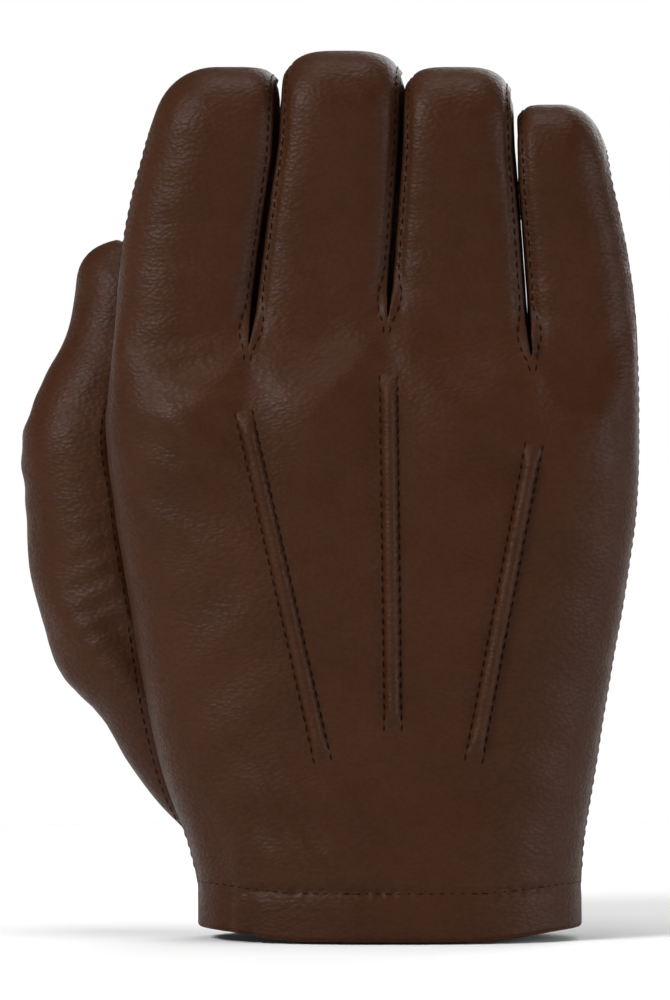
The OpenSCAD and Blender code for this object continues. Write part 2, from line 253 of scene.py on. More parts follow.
def hand_surface(x_share, z, side):
    """The hand at a share of its half width and a height. side is -1 for the back, 1 for the palm."""
    left, right = hand_edges(z)
    middle, half = (left + right) / 2, (right - left) / 2
    square = eased(z, HAND_HEIGHTS, SQUARENESS)
    depth = CUFF_HALF_D * eased(z, HAND_HEIGHTS, BACK_DEPTH if side < 0 else PALM_DEPTH)
    x = middle + half * x_share
    arch = (1 - np.minimum(np.abs(x_share), 1) ** square) ** (1 / square)
    y = side * depth * arch
    return np.stack([x, y, z + 0 * x], -1), arch


def hand_relief(points, arch, side, shape):
    """Knuckles, webs and pads of the hand, as a distance out of it."""
    x, z = points[..., 0], points[..., 2]
    out = np.zeros_like(x)
    for f in range(4):
        if side < 0:
            middle = (finger_line(f, ROOT_H) + finger_line(f + 1, ROOT_H)) / 2 - 0.0006
            high = KNUCKLE_HEIGHTS[f]
            tall = np.where(z < high, 0.013, 0.0085)
            share = KNUCKLE_SHARES[f]
            out += share * shape.knuckle_rise * bump(x - middle, 0.0078) * bump(z - high, tall)
    for k in (1, 2, 3):
        line = finger_line(k, ROOT_H)
        web = web_height(k)
        dip = smoothstep((z - web + 0.017) / 0.017) * bump(x - line, 0.0048)
        out -= shape.web_dip * dip * (1.0 if side < 0 else 0.8)
    if side > 0:
        out += 0.0020 * bump(x - 0.024, 0.016) * bump(z - 0.042, 0.026)
        out -= 0.0030 * bump(x + 0.004, 0.017) * bump(z - 0.060, 0.020)
        out += 0.0012 * bump(x + 0.005, 0.034) * bump(z - 0.094, 0.009)
    return out * np.clip(arch * 1.6, 0, 1)


def hand_point(x_share, z, side, shape):
    """The hand's surface with its knuckles, webs and pads."""
    points, arch = hand_surface(x_share, z, side)
    points[..., 1] += side * hand_relief(points, arch, side, shape)
    return points


def line_share(k, z):
    """A finger line's place as a share of the hand's half width."""
    z = np.maximum(z, START_H)
    if k in (0, 4):
        return np.where(k == 0, -1.0, 1.0) + 0 * z
    left, right = hand_edges(z)
    return (finger_line(k, z) - (left + right) / 2) / ((right - left) / 2)


# ---------------------------------------------------------------- fingers

# A finger's stations run from START_H, inside the hand, up to the bent knuckle and on to the tip.
# LINK_L is the way from the knuckle to the last bend, and TOTAL_L the way to the tip. A finger's REACH
# scales both.
START_H = 0.088
SHARED_H = 0.124
BEND_RADIUS = 0.0062
LAST_BEND = math.radians(44)
LAST_BEND_L = 0.009
TIP_ROUND = 0.0105
LINK_L = 0.019
TOTAL_L = 0.044
BEND_ROWS, STRAIGHT_ROWS, LAST_ROWS, TIP_ROWS = 20, 7, 9, 12
REACH = [0.95, 1.0, 0.97, 0.82]
# Squareness of each finger's two sides, straight and at its bent knuckle. At each slit one knuckle
# is square and the next is rounder, so that they close up.
SIDE_SQUARES = (
    ((2.4, 2.05), (4.6, 5.6)), ((4.6, 3.5), (4.6, 3.3)), ((4.6, 4.4), (4.6, 3.2)),
    ((4.6, 5.6), (2.4, 2.0)),
)


def finger_stations(f, shape):
    """The finger's path: for each station its place, tilt, half width, depths and row height."""
    top = FINGER_TOPS[f]
    deep = FINGER_HALF_D[f]
    turn_z = top - deep - BEND_RADIUS
    link = LINK_L * REACH[f]
    total = TOTAL_L * REACH[f]
    # Rows up to SHARED_H lie at the same heights on every finger, so that the webs join.
    shared = int(round((SHARED_H - START_H) / shape.row_step))
    own = int(round((turn_z - SHARED_H) / shape.row_step))
    steps = [("up", shape.row_step)] * shared
    steps += [("up", (turn_z - SHARED_H) / own)] * own
    count = shared + own
    steps += [("bend", math.radians(90) / BEND_ROWS)] * BEND_ROWS
    straight = link - LAST_BEND_L / 2 - BEND_RADIUS
    steps += [("on", straight / STRAIGHT_ROWS)] * STRAIGHT_ROWS
    steps += [("last", LAST_BEND_L / LAST_ROWS)] * LAST_ROWS
    rest = total - link - LAST_BEND_L / 2
    steps += [("on", (rest - TIP_ROUND) / STRAIGHT_ROWS)] * STRAIGHT_ROWS
    # The tip closes in rows that grow closer towards its end.
    shares = np.sin(np.linspace(0, math.pi / 2, TIP_ROWS + 1))
    steps += [("tip", TIP_ROUND * d) for d in np.diff(shares)]
    y, z, tilt, s = 0.0, START_H, 0.0, 0.0
    rows = [(y, z, tilt, s, 0.0)]
    tip_s = 0.0
    for kind, step in steps:
        if kind == "bend":
            tilt += step
            y = BEND_RADIUS * (1 - math.cos(tilt))
            z = turn_z + BEND_RADIUS * math.sin(tilt)
            s += BEND_RADIUS * step
        else:
            if kind == "last":
                tilt += LAST_BEND / (2 * LAST_ROWS)
            y += step * math.sin(tilt)
            z += step * math.cos(tilt)
            s += step
            if kind == "last":
                tilt += LAST_BEND / (2 * LAST_ROWS)
            if kind == "tip":
                tip_s += step
        rows.append((y, z, tilt, s, tip_s / TIP_ROUND))
    rows = np.array(rows)
    y, z, tilt, s, tip = rows.T
    turn_s = turn_z - START_H
    past = np.clip(s - turn_s, 0, None)
    z_line = np.maximum.accumulate(z)
    low, high = finger_line(f, z_line), finger_line(f + 1, z_line)
    # Past the bent knuckle a finger narrows, so that it clears the next one when it turns alone.
    narrow = eased(past, [0, 0.013, 0.026, 0.045], [1, 0.985, 0.90, 0.82])
    middle = (low + high) / 2
    half = ((high - low) / 2 - shape.finger_gap / 2) * narrow
    swell = eased(
        np.where(tilt > 0, turn_z, z),
        [START_H, ROOT_H, (ROOT_H + turn_z) / 2, turn_z], [1.10, 1.06, 0.965, 1.0]
    )
    depth = deep * swell * eased(past, [0, 0.012, 0.024, 0.045], [1, 0.97, 0.93, 0.86])
    corner = np.sin(np.clip(2 * tilt, 0, math.pi)) ** 2 * (tilt <= math.radians(90))
    back = depth + 0.0022 * corner
    # The palm side pinches to a crease at each bend, so that its rows don't cross.
    near = np.abs(s - turn_s - BEND_RADIUS * math.pi / 4)
    pinch = smoothstep((near - 0.004) / 0.009)
    pinched = BEND_RADIUS * 0.92
    palm = pinched + (depth - pinched) * pinch
    last_at = turn_s + BEND_RADIUS * math.pi / 2 + straight + LAST_BEND_L / 2
    palm -= 0.0016 * bump(s - last_at, 0.004)
    round_off = np.sqrt(np.clip(1 - tip**2.3, 0, 1)) ** 0.95
    # Where two fingers touch they are squarer, and most so at the bent knuckles.
    marks = [0, ROOT_H - START_H] + [turn_s + d for d in (-0.012, 0.003, 0.012, 0.026)]
    squares = [
        eased(s, marks, [low, low, low, bent, bent, 2.2 if low < 3 else 3.2])
        for low, bent in SIDE_SQUARES[f]
    ]
    return {
        "x": middle, "y": y, "z": z, "tilt": tilt, "half": half * round_off,
        "back": back * round_off, "palm": palm * round_off,
        "squares": squares, "turn_row": count, "to_end": s[-1] - s,
    }


def ring_point(st, angle):
    """Points on a finger's rings. angle has a row for each station; 0 is the back and 90 degrees the
    little-finger side."""
    sin, cos = np.sin(angle), np.cos(angle)
    square = np.where(sin < 0, st["squares"][0][:, None], st["squares"][1][:, None])
    x = st["half"][:, None] * signed_power(sin, 2 / square)
    depth = np.where(cos > 0, st["back"][:, None], st["palm"][:, None])
    n = depth * signed_power(cos, 2 / square)
    tilt = st["tilt"][:, None]
    return np.stack([
        st["x"][:, None] + x,
        st["y"][:, None] - n * np.cos(tilt),
        st["z"][:, None] + n * np.sin(tilt),
    ], -1)


def spread(n, crowd=0.55):
    """n + 1 values from 0 to 1, closer together at both ends."""
    t = np.linspace(0, 1, n + 1)
    return (1 - crowd) * t + crowd * (0.5 - 0.5 * np.cos(math.pi * t))


def even_angles(square_low, square_high, start, end, shares):
    """Girth angles that divide a ring's outline at the given shares of its length."""
    fine = np.linspace(start, end, 721)
    sin, cos = np.sin(fine), np.cos(fine)
    square = np.where(sin < 0, square_low, square_high)
    x, y = signed_power(sin, 2 / square), signed_power(cos, 2 / square)
    run = np.concatenate([[0], np.cumsum(np.hypot(np.diff(x), np.diff(y)))])
    return np.interp(shares * run[-1], run, fine)


# ---------------------------------------------------------------- nodes

def new_node(nodes, kind, inputs=None, **settings):
    """A node of one kind, with its settings and its inputs' values."""
    node = nodes.new(kind)
    for key, value in settings.items():
        setattr(node, key, value)
    for key, value in (inputs or {}).items():
        node.inputs[key].default_value = value
    return node


def new_material(name):
    """A material's nodes and links, its shader and the place on the piece that it is read at."""
    material = bpy.data.materials.new(name)
    material.use_nodes = True
    nodes, link = material.node_tree.nodes, material.node_tree.links.new
    where = nodes.new("ShaderNodeTexCoord").outputs["Object"]
    return material, nodes, link, nodes["Principled BSDF"], where


def ranged_inputs(low, high, to_low, to_high):
    return {"From Min": low, "From Max": high, "To Min": to_low, "To Max": to_high}


# ---------------------------------------------------------------- sheets of leather

class Sheet:
    """One cut of leather: a grid of points, with rows up the hand and columns round the girth.
    parts gives the name of the leather piece that starts at each row, edges says how each long side
    is sewn, and seam_rows the row where each of those seams starts, or None."""

    def __init__(self, grid, parts, edges, seam_rows=(None, None)):
        self.grid = grid
        self.parts = parts
        self.edges = edges
        self.seam_rows = seam_rows
        self.ids = None

    def labels(self):
        rows, cols = self.grid.shape[0] - 1, self.grid.shape[1] - 1
        names = np.empty((rows, cols), object)
        for start, name in self.parts:
            names[start:] = name
        return names.reshape(-1)

    def edge_distance(self, grid, end):
        """Distance of each point from one long side, along its row."""
        step = np.linalg.norm(np.diff(grid, axis=1), axis=2)
        none = np.zeros((len(grid), 1))
        if end:
            return np.concatenate([np.cumsum(step[:, ::-1], axis=1)[:, ::-1], none], 1)
        return np.concatenate([none, np.cumsum(step, axis=1)], 1)


# How the leather moves near a seam: the reach of a lapped edge's rise, the dip at the very edge, the
# dimples under a stitch row, the strip under the lap, and a plain seam's ridge and groove.
LAP_REACH = 0.0024
EDGE_DIP, EDGE_DIP_REACH = 0.00055, 0.00025
ROW_DIP, ROW_DIP_REACH = 0.00045, 0.0006
UNDER_REACH = 0.0012
RIDGE_SHARE, RIDGE_AT, RIDGE_REACH = 0.3, 0.0021, 0.0012
GROOVE_REACH = 0.0007
# How far the painted shade reaches from a seam's edge.
PAINTED_SHADE_REACH = 0.0022


class Hide:
    """Sheets that are sewn to each other. They share their seam points, so that they shade as one."""

    def __init__(self, sheets):
        self.sheets = sheets
        points = np.concatenate([sheet.grid.reshape(-1, 3) for sheet in sheets])
        keys = np.round(points / 2e-6).astype(np.int64)
        _, first, inverse = np.unique(keys, axis=0, return_index=True, return_inverse=True)
        inverse = inverse.reshape(-1)
        self.points = points[first]
        start = 0
        quads = []
        for sheet in sheets:
            rows, cols = sheet.grid.shape[:2]
            sheet.ids = inverse[start:start + rows * cols].reshape(rows, cols)
            start += rows * cols
            a, b = sheet.ids[:-1, :-1], sheet.ids[:-1, 1:]
            c, d = sheet.ids[1:, 1:], sheet.ids[1:, :-1]
            quads.append(np.stack([a, b, c, d], -1).reshape(-1, 4))
        self.quads = np.concatenate(quads)
        self.labels = np.concatenate([sheet.labels() for sheet in sheets])
        self.times = np.zeros(len(self.points))
        np.add.at(self.times, inverse, 1)
        self.normals = self.find_normals()
        # How much painted shade darkens each point's colour, near seams and feet.
        self.painted_shade = np.zeros(len(self.points))

    def find_normals(self):
        corners = self.points[self.quads]
        face = np.cross(corners[:, 2] - corners[:, 0], corners[:, 3] - corners[:, 1])
        normals = np.zeros_like(self.points)
        for corner in range(4):
            np.add.at(normals, self.quads[:, corner], face)
        return normals / np.maximum(np.linalg.norm(normals, axis=1, keepdims=True), 1e-15)

    def move_out(self, distance):
        self.points = self.points + self.normals * distance[:, None]
        self.normals = self.find_normals()

    def sew(self, seams):
        """Raises lapped edges, sinks plain seams, and notes how near each point is to an edge, for the
        painted shade that darkens the colour along the seams.
        """
        out = np.zeros(len(self.points))
        for sheet in self.sheets:
            grid = self.points[sheet.ids]
            rows = np.arange(len(grid))[:, None]
            for end in (0, 1):
                kind = sheet.edges[end]
                if kind is None:
                    continue
                d = sheet.edge_distance(grid, end)
                on = 1.0
                if sheet.seam_rows[end] is not None:
                    on = smoothstep((rows - sheet.seam_rows[end] + 1) / 3.0)
                if kind == "lap":
                    move = seams.edge_rise * bump(d, LAP_REACH) - EDGE_DIP * bump(d, EDGE_DIP_REACH)
                    move = move - ROW_DIP * bump(d - seams.stitch_inset, ROW_DIP_REACH)
                elif kind == "under":
                    move = -seams.edge_rise * bump(d, UNDER_REACH)
                else:
                    move = RIDGE_SHARE * seams.groove * bump(d - RIDGE_AT, RIDGE_REACH)
                    move = move - seams.groove * bump(d, GROOVE_REACH)
                # Over the bent knuckles the seams are stretched flatter.
                on = on * (1 - 0.6 * smoothstep((self.normals[sheet.ids][..., 2] - 0.2) / 0.4))
                ids = sheet.ids.reshape(-1)
                np.add.at(out, ids, (move * on).reshape(-1) / self.times[ids])
                # Painted shade: the colour is darkened near each sewn edge.
                near = (bump(d, PAINTED_SHADE_REACH) * on).reshape(-1)
                np.maximum.at(self.painted_shade, ids, near)
        self.move_out(out)

    def line(self, sheet, end, rows, inset):
        """Points and normals that run along one long side of a sheet, at an inset from it."""
        grid, normals = self.points[sheet.ids], self.normals[sheet.ids]
        d = sheet.edge_distance(grid, end)
        spots, outs = [], []
        for row, wanted in zip(rows, np.broadcast_to(inset, (len(rows),))):
            order = np.argsort(d[row], kind="stable")
            run = d[row][order]
            spots.append(along_run(wanted, run, grid[row][order]))
            outs.append(along_run(wanted, run, normals[row][order]))
        return np.array(spots), np.array(outs)


def place(name, mesh, material):
    piece = bpy.data.objects.new(name, mesh)
    bpy.context.scene.collection.objects.link(piece)
    mesh.materials.clear()
    mesh.materials.append(material)
    return piece


def leather_piece(name, hide, chosen, leather, material):
    """A closed piece of leather from some of a hide's faces, with its real thickness."""
    used, local = np.unique(hide.quads[chosen], return_inverse=True)
    outer, normals = hide.points[used], hide.normals[used]
    count = len(used)
    points = np.concatenate([outer, outer - normals * leather])
    faces, loop_normals, edges = [], [], set()
    for quad in local.reshape(-1, 4).tolist():
        corners = [v for k, v in enumerate(quad) if v != quad[k - 1]]
        if len(set(corners)) < 3:
            continue
        faces.append(corners)
        loop_normals += [normals[v] for v in corners]
        edges.update(zip(corners, corners[1:] + corners[:1]))
    for face in faces[:]:
        flipped = [v + count for v in reversed(face)]
        faces.append(flipped)
        loop_normals += [-normals[v - count] for v in flipped]
    for a, b in sorted(edges):
        if (b, a) in edges:
            continue
        side = np.cross(points[a + count] - points[b], points[b + count] - points[a])
        side = side / max(np.linalg.norm(side), 1e-15)
        faces.append([b, a, a + count, b + count])
        loop_normals += [side] * 4
    mesh = bpy.data.meshes.new(name)
    mesh.from_pydata(points.tolist(), [], faces)
    mesh.polygons.foreach_set("use_smooth", [True] * len(mesh.polygons))
    # The painted shade near seams goes with each point to the material, on both faces.
    painted_shade = mesh.attributes.new("painted_seam_shade", "FLOAT", "POINT")
    painted_shade.data.foreach_set("value", np.tile(hide.painted_shade[used], 2).astype(np.float32))
    mesh.normals_split_custom_set([tuple(n) for n in loop_normals])
    return place(name, mesh, material)


# ---------------------------------------------------------------- the hand and the fingers

COLUMNS = 30
SIDE_COLUMNS = 8
HEM_FOLD = 0.0009
# Rows of the hand below the fingers' stations, closer together along the hem's seam.
HAND_ROWS = np.concatenate([
    [HEM_FOLD], np.arange(0.002, 0.0082, 0.001), np.arange(0.0084, 0.0103, 0.0004),
    np.arange(0.011, START_H - 0.0005, 0.001),
])
# The height where each finger's own leather starts.
STARTS = (0.109, 0.114, 0.114, 0.107)
# An upper part starts this far before its bend.
UPPER_LEAD = 0.013


def girth_range(f, kind, slit):
    """First and last girth angle of a finger's sheet, for one half angle of its slit seams."""
    quarter = math.pi / 2
    if kind == "back":
        return -quarter if f == 0 else -slit, quarter if f == 3 else slit
    if kind == "palm":
        return quarter if f == 3 else math.pi - slit, 3 * quarter if f == 0 else math.pi + slit
    if kind == "outer_side":
        return slit, math.pi - slit
    return math.pi + slit, 2 * math.pi - slit


def sheet_rings(f, kind, st, seams):
    """A sheet's points on its finger's rings. The side strips narrow to nothing near the tip."""
    shares = spread(SIDE_COLUMNS if "side" in kind else COLUMNS)
    closed = math.radians(89)
    taper = smoothstep((st["to_end"] - 0.008) / 0.014)
    slits = closed + (seams.slit_half_angle - closed) * taper
    angles = [
        even_angles(low, high, *girth_range(f, kind, slit), shares)
        for slit, low, high in zip(slits, *st["squares"])
    ]
    return ring_point(st, np.array(angles))


def row_at(z, shape):
    """The row of a back or palm sheet at a height between START_H and SHARED_H."""
    return len(HAND_ROWS) + int(round((z - START_H) / shape.row_step))


def split_row(st):
    """The station where a finger's upper part starts."""
    wanted = st["z"][st["turn_row"]] - UPPER_LEAD
    return int(np.argmin(np.abs(st["z"][:st["turn_row"]] - wanted)))


def broad_sheet(f, kind, st, shape, seams):
    """A finger's back or palm, in one with its strip of the hand."""
    side = -1 if kind == "back" else 1
    ring = sheet_rings(f, kind, st, seams)
    across = ring[0, :, 0]
    u = (across - across[0]) / (across[-1] - across[0])
    first, last = (f, f + 1) if side < 0 else (f + 1, f)
    shared = row_at(SHARED_H, shape) - len(HAND_ROWS) + 1
    z = np.concatenate([HAND_ROWS, st["z"][:shared]])
    low, high = line_share(first, z)[:, None], line_share(last, z)[:, None]
    hand = hand_point(low + u * (high - low), z[:, None], side, shape)
    # Between its slits a finger starts to round lower down than at them.
    web = web_height(first) + u * (web_height(last) - web_height(first))
    inner = 1 - (2 * u - 1) ** 2
    mix = smoothstep((z[:, None] - web + 0.013 * inner) / (0.010 + 0.006 * inner))
    rows = len(HAND_ROWS)
    hand[rows:] += mix[rows:, :, None] * (ring[:shared] - hand[rows:])
    grid = np.concatenate([hand, ring[shared:]])
    name = FINGERS[f]
    parts = (
        (0, f"{kind}_panel"),
        (row_at(STARTS[f], shape), f"{name}_lower_{kind}"),
        (rows + split_row(st), f"{name}_upper_{kind}"),
    )
    edges = ["plain" if line in (0, 4) else "lap" for line in (first, last)]
    seam_rows = [
        None if line in (0, 4) else row_at(web_height(line), shape) for line in (first, last)
    ]
    return Sheet(grid, parts, edges, seam_rows)


def side_sheet(f, kind, st, shape, seams):
    """The narrow strip down one side of a finger, from the web to near the tip."""
    line = f + 1 if kind == "outer_side" else f
    web = web_height(line)
    start = int(round((web - START_H) / shape.row_step))
    ring = sheet_rings(f, kind, st, seams)[start:]
    shared = row_at(SHARED_H, shape) - len(HAND_ROWS) + 1 - start
    z = st["z"][start:start + shared][:, None]
    back = hand_point(line_share(line, z), z, -1, shape)
    palm = hand_point(line_share(line, z), z, 1, shape)
    t = spread(SIDE_COLUMNS)[None, :, None]
    near, far = (back, palm) if kind == "outer_side" else (palm, back)
    web_line = near + t * (far - near)
    mix = smoothstep((z - web) / 0.010)[..., None]
    ring[:shared] = web_line + mix * (ring[:shared] - web_line)
    name = FINGERS[f]
    parts = (
        (0, "palm_panel"),
        (row_at(STARTS[f], shape) - len(HAND_ROWS) - start, f"{name}_lower_{kind}"),
        (split_row(st) - start, f"{name}_upper_{kind}"),
    )
    return Sheet(ring, parts, ("under", "under"), (0, 0))


# Soft folds in the worn leather. Each row gives a direction, a wave length and a phase, then the
# middle and the reach of the patch across and up the hand, and a strength.
FOLDS = (
    (80, 0.0125, 0.4, -0.014, 0.022, 0.026, 0.011, 0.5),
    (74, 0.0145, 2.1, 0.018, 0.032, 0.022, 0.013, 0.5),
    (118, 0.0135, 1.2, -0.034, 0.050, 0.013, 0.019, 0.6),
    (58, 0.0075, 3.0, -0.042, 0.088, 0.013, 0.017, 0.9),
    (97, 0.0062, 0.9, -0.036, 0.106, 0.011, 0.010, 0.4),
    (88, 0.0060, 2.6, -0.012, 0.110, 0.010, 0.009, 0.35),
    (92, 0.0070, 1.7, 0.013, 0.125, 0.016, 0.016, 0.3),
    (95, 0.0066, 0.2, -0.034, 0.131, 0.014, 0.014, 0.25),
    (84, 0.0078, 2.2, 0.036, 0.118, 0.014, 0.018, 0.35),
    (66, 0.0140, 1.0, 0.006, 0.072, 0.045, 0.035, 0.5),
    (12, 0.0052, 0.5, -0.029, 0.013, 0.0085, 0.0075, 1.3),
    (35, 0.0060, 1.9, -0.022, 0.021, 0.0140, 0.0080, 0.8),
)


HEM_PITCH = 0.0026
HEM_SEAM_X = -0.0274


def soft_folds(points, shape):
    """How far the folds and the turned hem push each point out."""
    x, y, z = points.T
    out = np.zeros(len(points))
    for degrees, wave, phase, mid_x, mid_z, reach_x, reach_z, strength in FOLDS:
        turn = math.radians(degrees)
        run = (x * math.cos(turn) + z * math.sin(turn) + 0.4 * y) / wave
        wander = 0.7 * np.sin(x / 0.009 + phase) + 0.5 * np.sin(z / 0.013 - phase)
        rise = np.sin(2 * math.pi * run + phase + wander)
        out += strength * shape.fold_depth * rise * bump(x - mid_x, reach_x) * bump(z - mid_z, reach_z)
    # The hem is two leathers thick, and its seam pulls a row of dimples above it.
    out += 0.00025 * smoothstep((HEM_H - z) / 0.002)
    pull = 0.6 + 0.4 * np.sin(2 * math.pi * x / HEM_PITCH)
    out -= 0.00060 * pull * bump(z - HEM_H - 0.0002, 0.0008)
    # The side seam crosses the hem in a narrow ridge between two grooves.
    across = x - HEM_SEAM_X
    ridge = 0.0006 * bump(across, 0.0011) - 0.0007 * bump(np.abs(across) - 0.0020, 0.0008)
    out += ridge * (y < 0) * smoothstep((HEM_H + 0.002 - z) / 0.004)
    return out


def lift_corners(points, shape):
    """Raises the cuff's two side corners a little."""
    x, z = points[:, 0], points[:, 2]
    corner = smoothstep((np.abs(x) / CUFF_HALF_W - 0.45) / 0.55)
    points[:, 2] += shape.corner_lift * corner * (1 - smoothstep(z / 0.030))


def glove_hide(shape, seams):
    """The sewn hand and fingers, with each finger's stations and the sheets by name."""
    stations = [finger_stations(f, shape) for f in range(4)]
    sheets = {}
    for f, st in enumerate(stations):
        for kind in ("back", "palm"):
            sheets[f, kind] = broad_sheet(f, kind, st, shape, seams)
        if f < 3:
            sheets[f, "outer_side"] = side_sheet(f, "outer_side", st, shape, seams)
        if f > 0:
            sheets[f, "thumb_side"] = side_sheet(f, "thumb_side", st, shape, seams)
    hide = Hide(list(sheets.values()))
    # Fingers that press on each other touch in a curved face, so no light comes through.
    pressed = smoothstep((hide.points[:, 2] - ROOT_H + 0.012) / 0.010)
    lift_corners(hide.points, shape)
    hide.points[:, 0] += shape.finger_press * np.tanh(hide.points[:, 1] / 0.003) * pressed
    hide.normals = hide.find_normals()
    facing = 0.2 + 0.8 * hide.normals[:, 1] ** 2
    hide.move_out(soft_folds(hide.points, shape) * facing)
    hide.sew(seams)
    return hide, stations, sheets


def follow(piece, part):
    """Attaches a piece to the hand, or bakes its transform into its mesh for the thumb's tip and the
    fingers' parts.
    """
    finger = part.split("_")[0]
    if finger not in FINGERS:
        if part.startswith("thumb_tip"):
            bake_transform(piece)
            return
        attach(piece, "hand")
        return
    if "_lower" in part:
        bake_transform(piece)
        return
    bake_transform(piece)


def build_leather(shape, seams, looks):
    """The hand's panels and every finger's sheets."""
    hide, stations, _ = glove_hide(shape, seams)
    leather = leather_material("leather", looks)
    for part in dict.fromkeys(hide.labels.tolist()):
        piece = leather_piece(f"{part}_leather", hide, hide.labels == part, shape.leather, leather)
        follow(piece, part)
        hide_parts(part)


# ---------------------------------------------------------------- the turned hem

def build_hem(shape, seams, looks):
    """The turned edge of the cuff: a fold under the leather and a facing inside it."""
    hide, _, sheets = glove_hide(shape, seams)
    order = [sheets[f, "back"] for f in range(4)] + [sheets[f, "palm"] for f in (3, 2, 1, 0)]
    loops = []
    for row in range(int(np.sum(HAND_ROWS <= HEM_H + 1e-6))):
        ids = np.concatenate([sheet.ids[row][:-1] for sheet in order])
        loops.append((hide.points[ids], hide.normals[ids] * [1, 1, 0]))
    leather = shape.leather
    base, out = loops[0]
    out = out / np.linalg.norm(out, axis=1, keepdims=True)
    rings = []
    for turn in np.linspace(0, math.pi, 11):
        drop = np.array([0, 0, -HEM_FOLD * math.sin(turn)])
        rings.append(base - out * leather * (1 - math.cos(turn)) + drop)
    for points, normals in loops[1:]:
        flat = normals / np.linalg.norm(normals, axis=1, keepdims=True)
        rings.append(points - flat * leather * 2)
    rings.append(rings[-1] + flat * leather * 0.25 + [0, 0, 0.00035])
    rings.append(points - flat * leather * 0.98)
    rings.append(base - out * leather * 0.98)
    count, around = len(rings), len(base)
    faces = []
    for r in range(count):
        for c in range(around):
            here, on = r * around, ((r + 1) % count) * around
            turn = (c + 1) % around
            faces.append([here + turn, here + c, on + c, on + turn])
    mesh = bpy.data.meshes.new("hem")
    mesh.from_pydata(np.concatenate(rings).tolist(), [], faces)
    mesh.polygons.foreach_set("use_smooth", [True] * len(mesh.polygons))
    mesh.set_sharp_from_angle(angle=math.radians(50))
    hem = place("hem", mesh, leather_material("leather_turned", looks, turned=True))
    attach(hem, "hand")
    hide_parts("hem_facing")


# ---------------------------------------------------------------- the thumb

# The thumb's middle line and half sizes. Each row gives a height, the middle across and from back to
# palm, the half width and the half depth.
THUMB_STATIONS = np.array([
    (0.0100, -0.0140, 0.0070, 0.0120, 0.0080),
    (0.0220, -0.0270, 0.0100, 0.0140, 0.0100),
    (0.0310, -0.0342, 0.0126, 0.0140, 0.0117),
    (0.0395, -0.0395, 0.0148, 0.0140, 0.0127),
    (0.0470, -0.0465, 0.0166, 0.0140, 0.0132),
    (0.0570, -0.0508, 0.0182, 0.0140, 0.0134),
    (0.0640, -0.0524, 0.0192, 0.0140, 0.0134),
    (0.0800, -0.0546, 0.0203, 0.0133, 0.0128),
    (0.0930, -0.0560, 0.0213, 0.0122, 0.0120),
    (0.1020, -0.0535, 0.0224, 0.0112, 0.0110),
    (0.1145, -0.0497, 0.0240, 0.0096, 0.0098),
    (0.1285, -0.0500, 0.0262, 0.0088, 0.0090),
])
THUMB_HEIGHTS, THUMB_XS, THUMB_YS, THUMB_HALF_W, THUMB_HALF_D = THUMB_STATIONS.T
THUMB_SQUARE = 2.15
THUMB_CLOSE = 0.0085
THUMB_SEAMS = (math.radians(20), math.radians(212), math.radians(380))
THUMB_SPLIT_H = 0.0785
THUMB_COLUMNS = 34
THUMB_ROWS = 106
THUMB_CLOSING_ROWS = 12


def thumb_grid(start, end):
    """The thumb's points between two girth angles."""
    z = np.linspace(THUMB_HEIGHTS[0], THUMB_TOP - THUMB_CLOSE, THUMB_ROWS)
    tip = np.sin(np.linspace(0, math.pi / 2, THUMB_CLOSING_ROWS + 1))[1:]
    z = np.concatenate([z, THUMB_TOP - THUMB_CLOSE + THUMB_CLOSE * tip])
    tip = np.concatenate([np.zeros(THUMB_ROWS), tip])
    closing = np.sqrt(np.clip(1 - tip**2.2, 0, 1))
    angles = even_angles(THUMB_SQUARE, THUMB_SQUARE, start, end, spread(THUMB_COLUMNS, 0.35))
    width = (eased(z, THUMB_HEIGHTS, THUMB_HALF_W) * closing)[:, None]
    deep = (eased(z, THUMB_HEIGHTS, THUMB_HALF_D) * closing)[:, None]
    power = 2 / THUMB_SQUARE
    x = eased(z, THUMB_HEIGHTS, THUMB_XS)[:, None] + width * signed_power(np.sin(angles), power)
    y = eased(z, THUMB_HEIGHTS, THUMB_YS)[:, None] - deep * signed_power(np.cos(angles), power)
    return np.stack([x, y, z[:, None] + 0 * x], -1)


def outside_hand(points):
    """About how far each point is outside the hand's surface. It is negative inside."""
    x, y, z = points.T
    left, right = hand_edges(z)
    square = eased(z, HAND_HEIGHTS, SQUARENESS)
    depths = [eased(z, HAND_HEIGHTS, table) for table in (BACK_DEPTH, PALM_DEPTH)]
    depth = CUFF_HALF_D * np.where(y < 0, *depths)
    u = np.abs((x - (left + right) / 2) / ((right - left) / 2))
    reach = (u**square + np.abs(y / depth) ** square) ** (1 / square)
    return np.hypot(x - (left + right) / 2, y) * (1 - 1 / np.maximum(reach, 1e-6))


def thumb_folds(points, shape):
    x, y, z = points.T
    out = np.zeros(len(points))
    # The knuckle stands up at the back, and leather gathers across its inner side.
    out += 0.0006 * bump(z - 0.094, 0.010) * smoothstep((0.022 - y) / 0.012)
    gather = np.sin(2 * math.pi * (z + 0.25 * x) / 0.0068 + 0.6 * np.sin(x / 0.006))
    out += 0.7 * shape.fold_depth * gather * bump(z - 0.088, 0.011) * smoothstep((y - 0.014) / 0.010)
    slant = np.sin(2 * math.pi * (0.62 * z + 0.78 * x) / 0.0105 + 1.1)
    out += 0.9 * shape.fold_depth * slant * bump(z - 0.052, 0.018)
    fine = np.sin(2 * math.pi * (0.92 * z - 0.38 * x) / 0.0043 + 0.8 * np.sin(z / 0.007))
    out += 0.5 * shape.fold_depth * fine * bump(z - 0.062, 0.017) * bump(x + 0.0540, 0.0065)
    ripple = np.sin(2 * math.pi * (z - 0.35 * x) / 0.0125 + 2.0 + 0.7 * np.sin(y / 0.007))
    out += 0.5 * shape.fold_depth * ripple * bump(z - 0.110, 0.016)
    return out


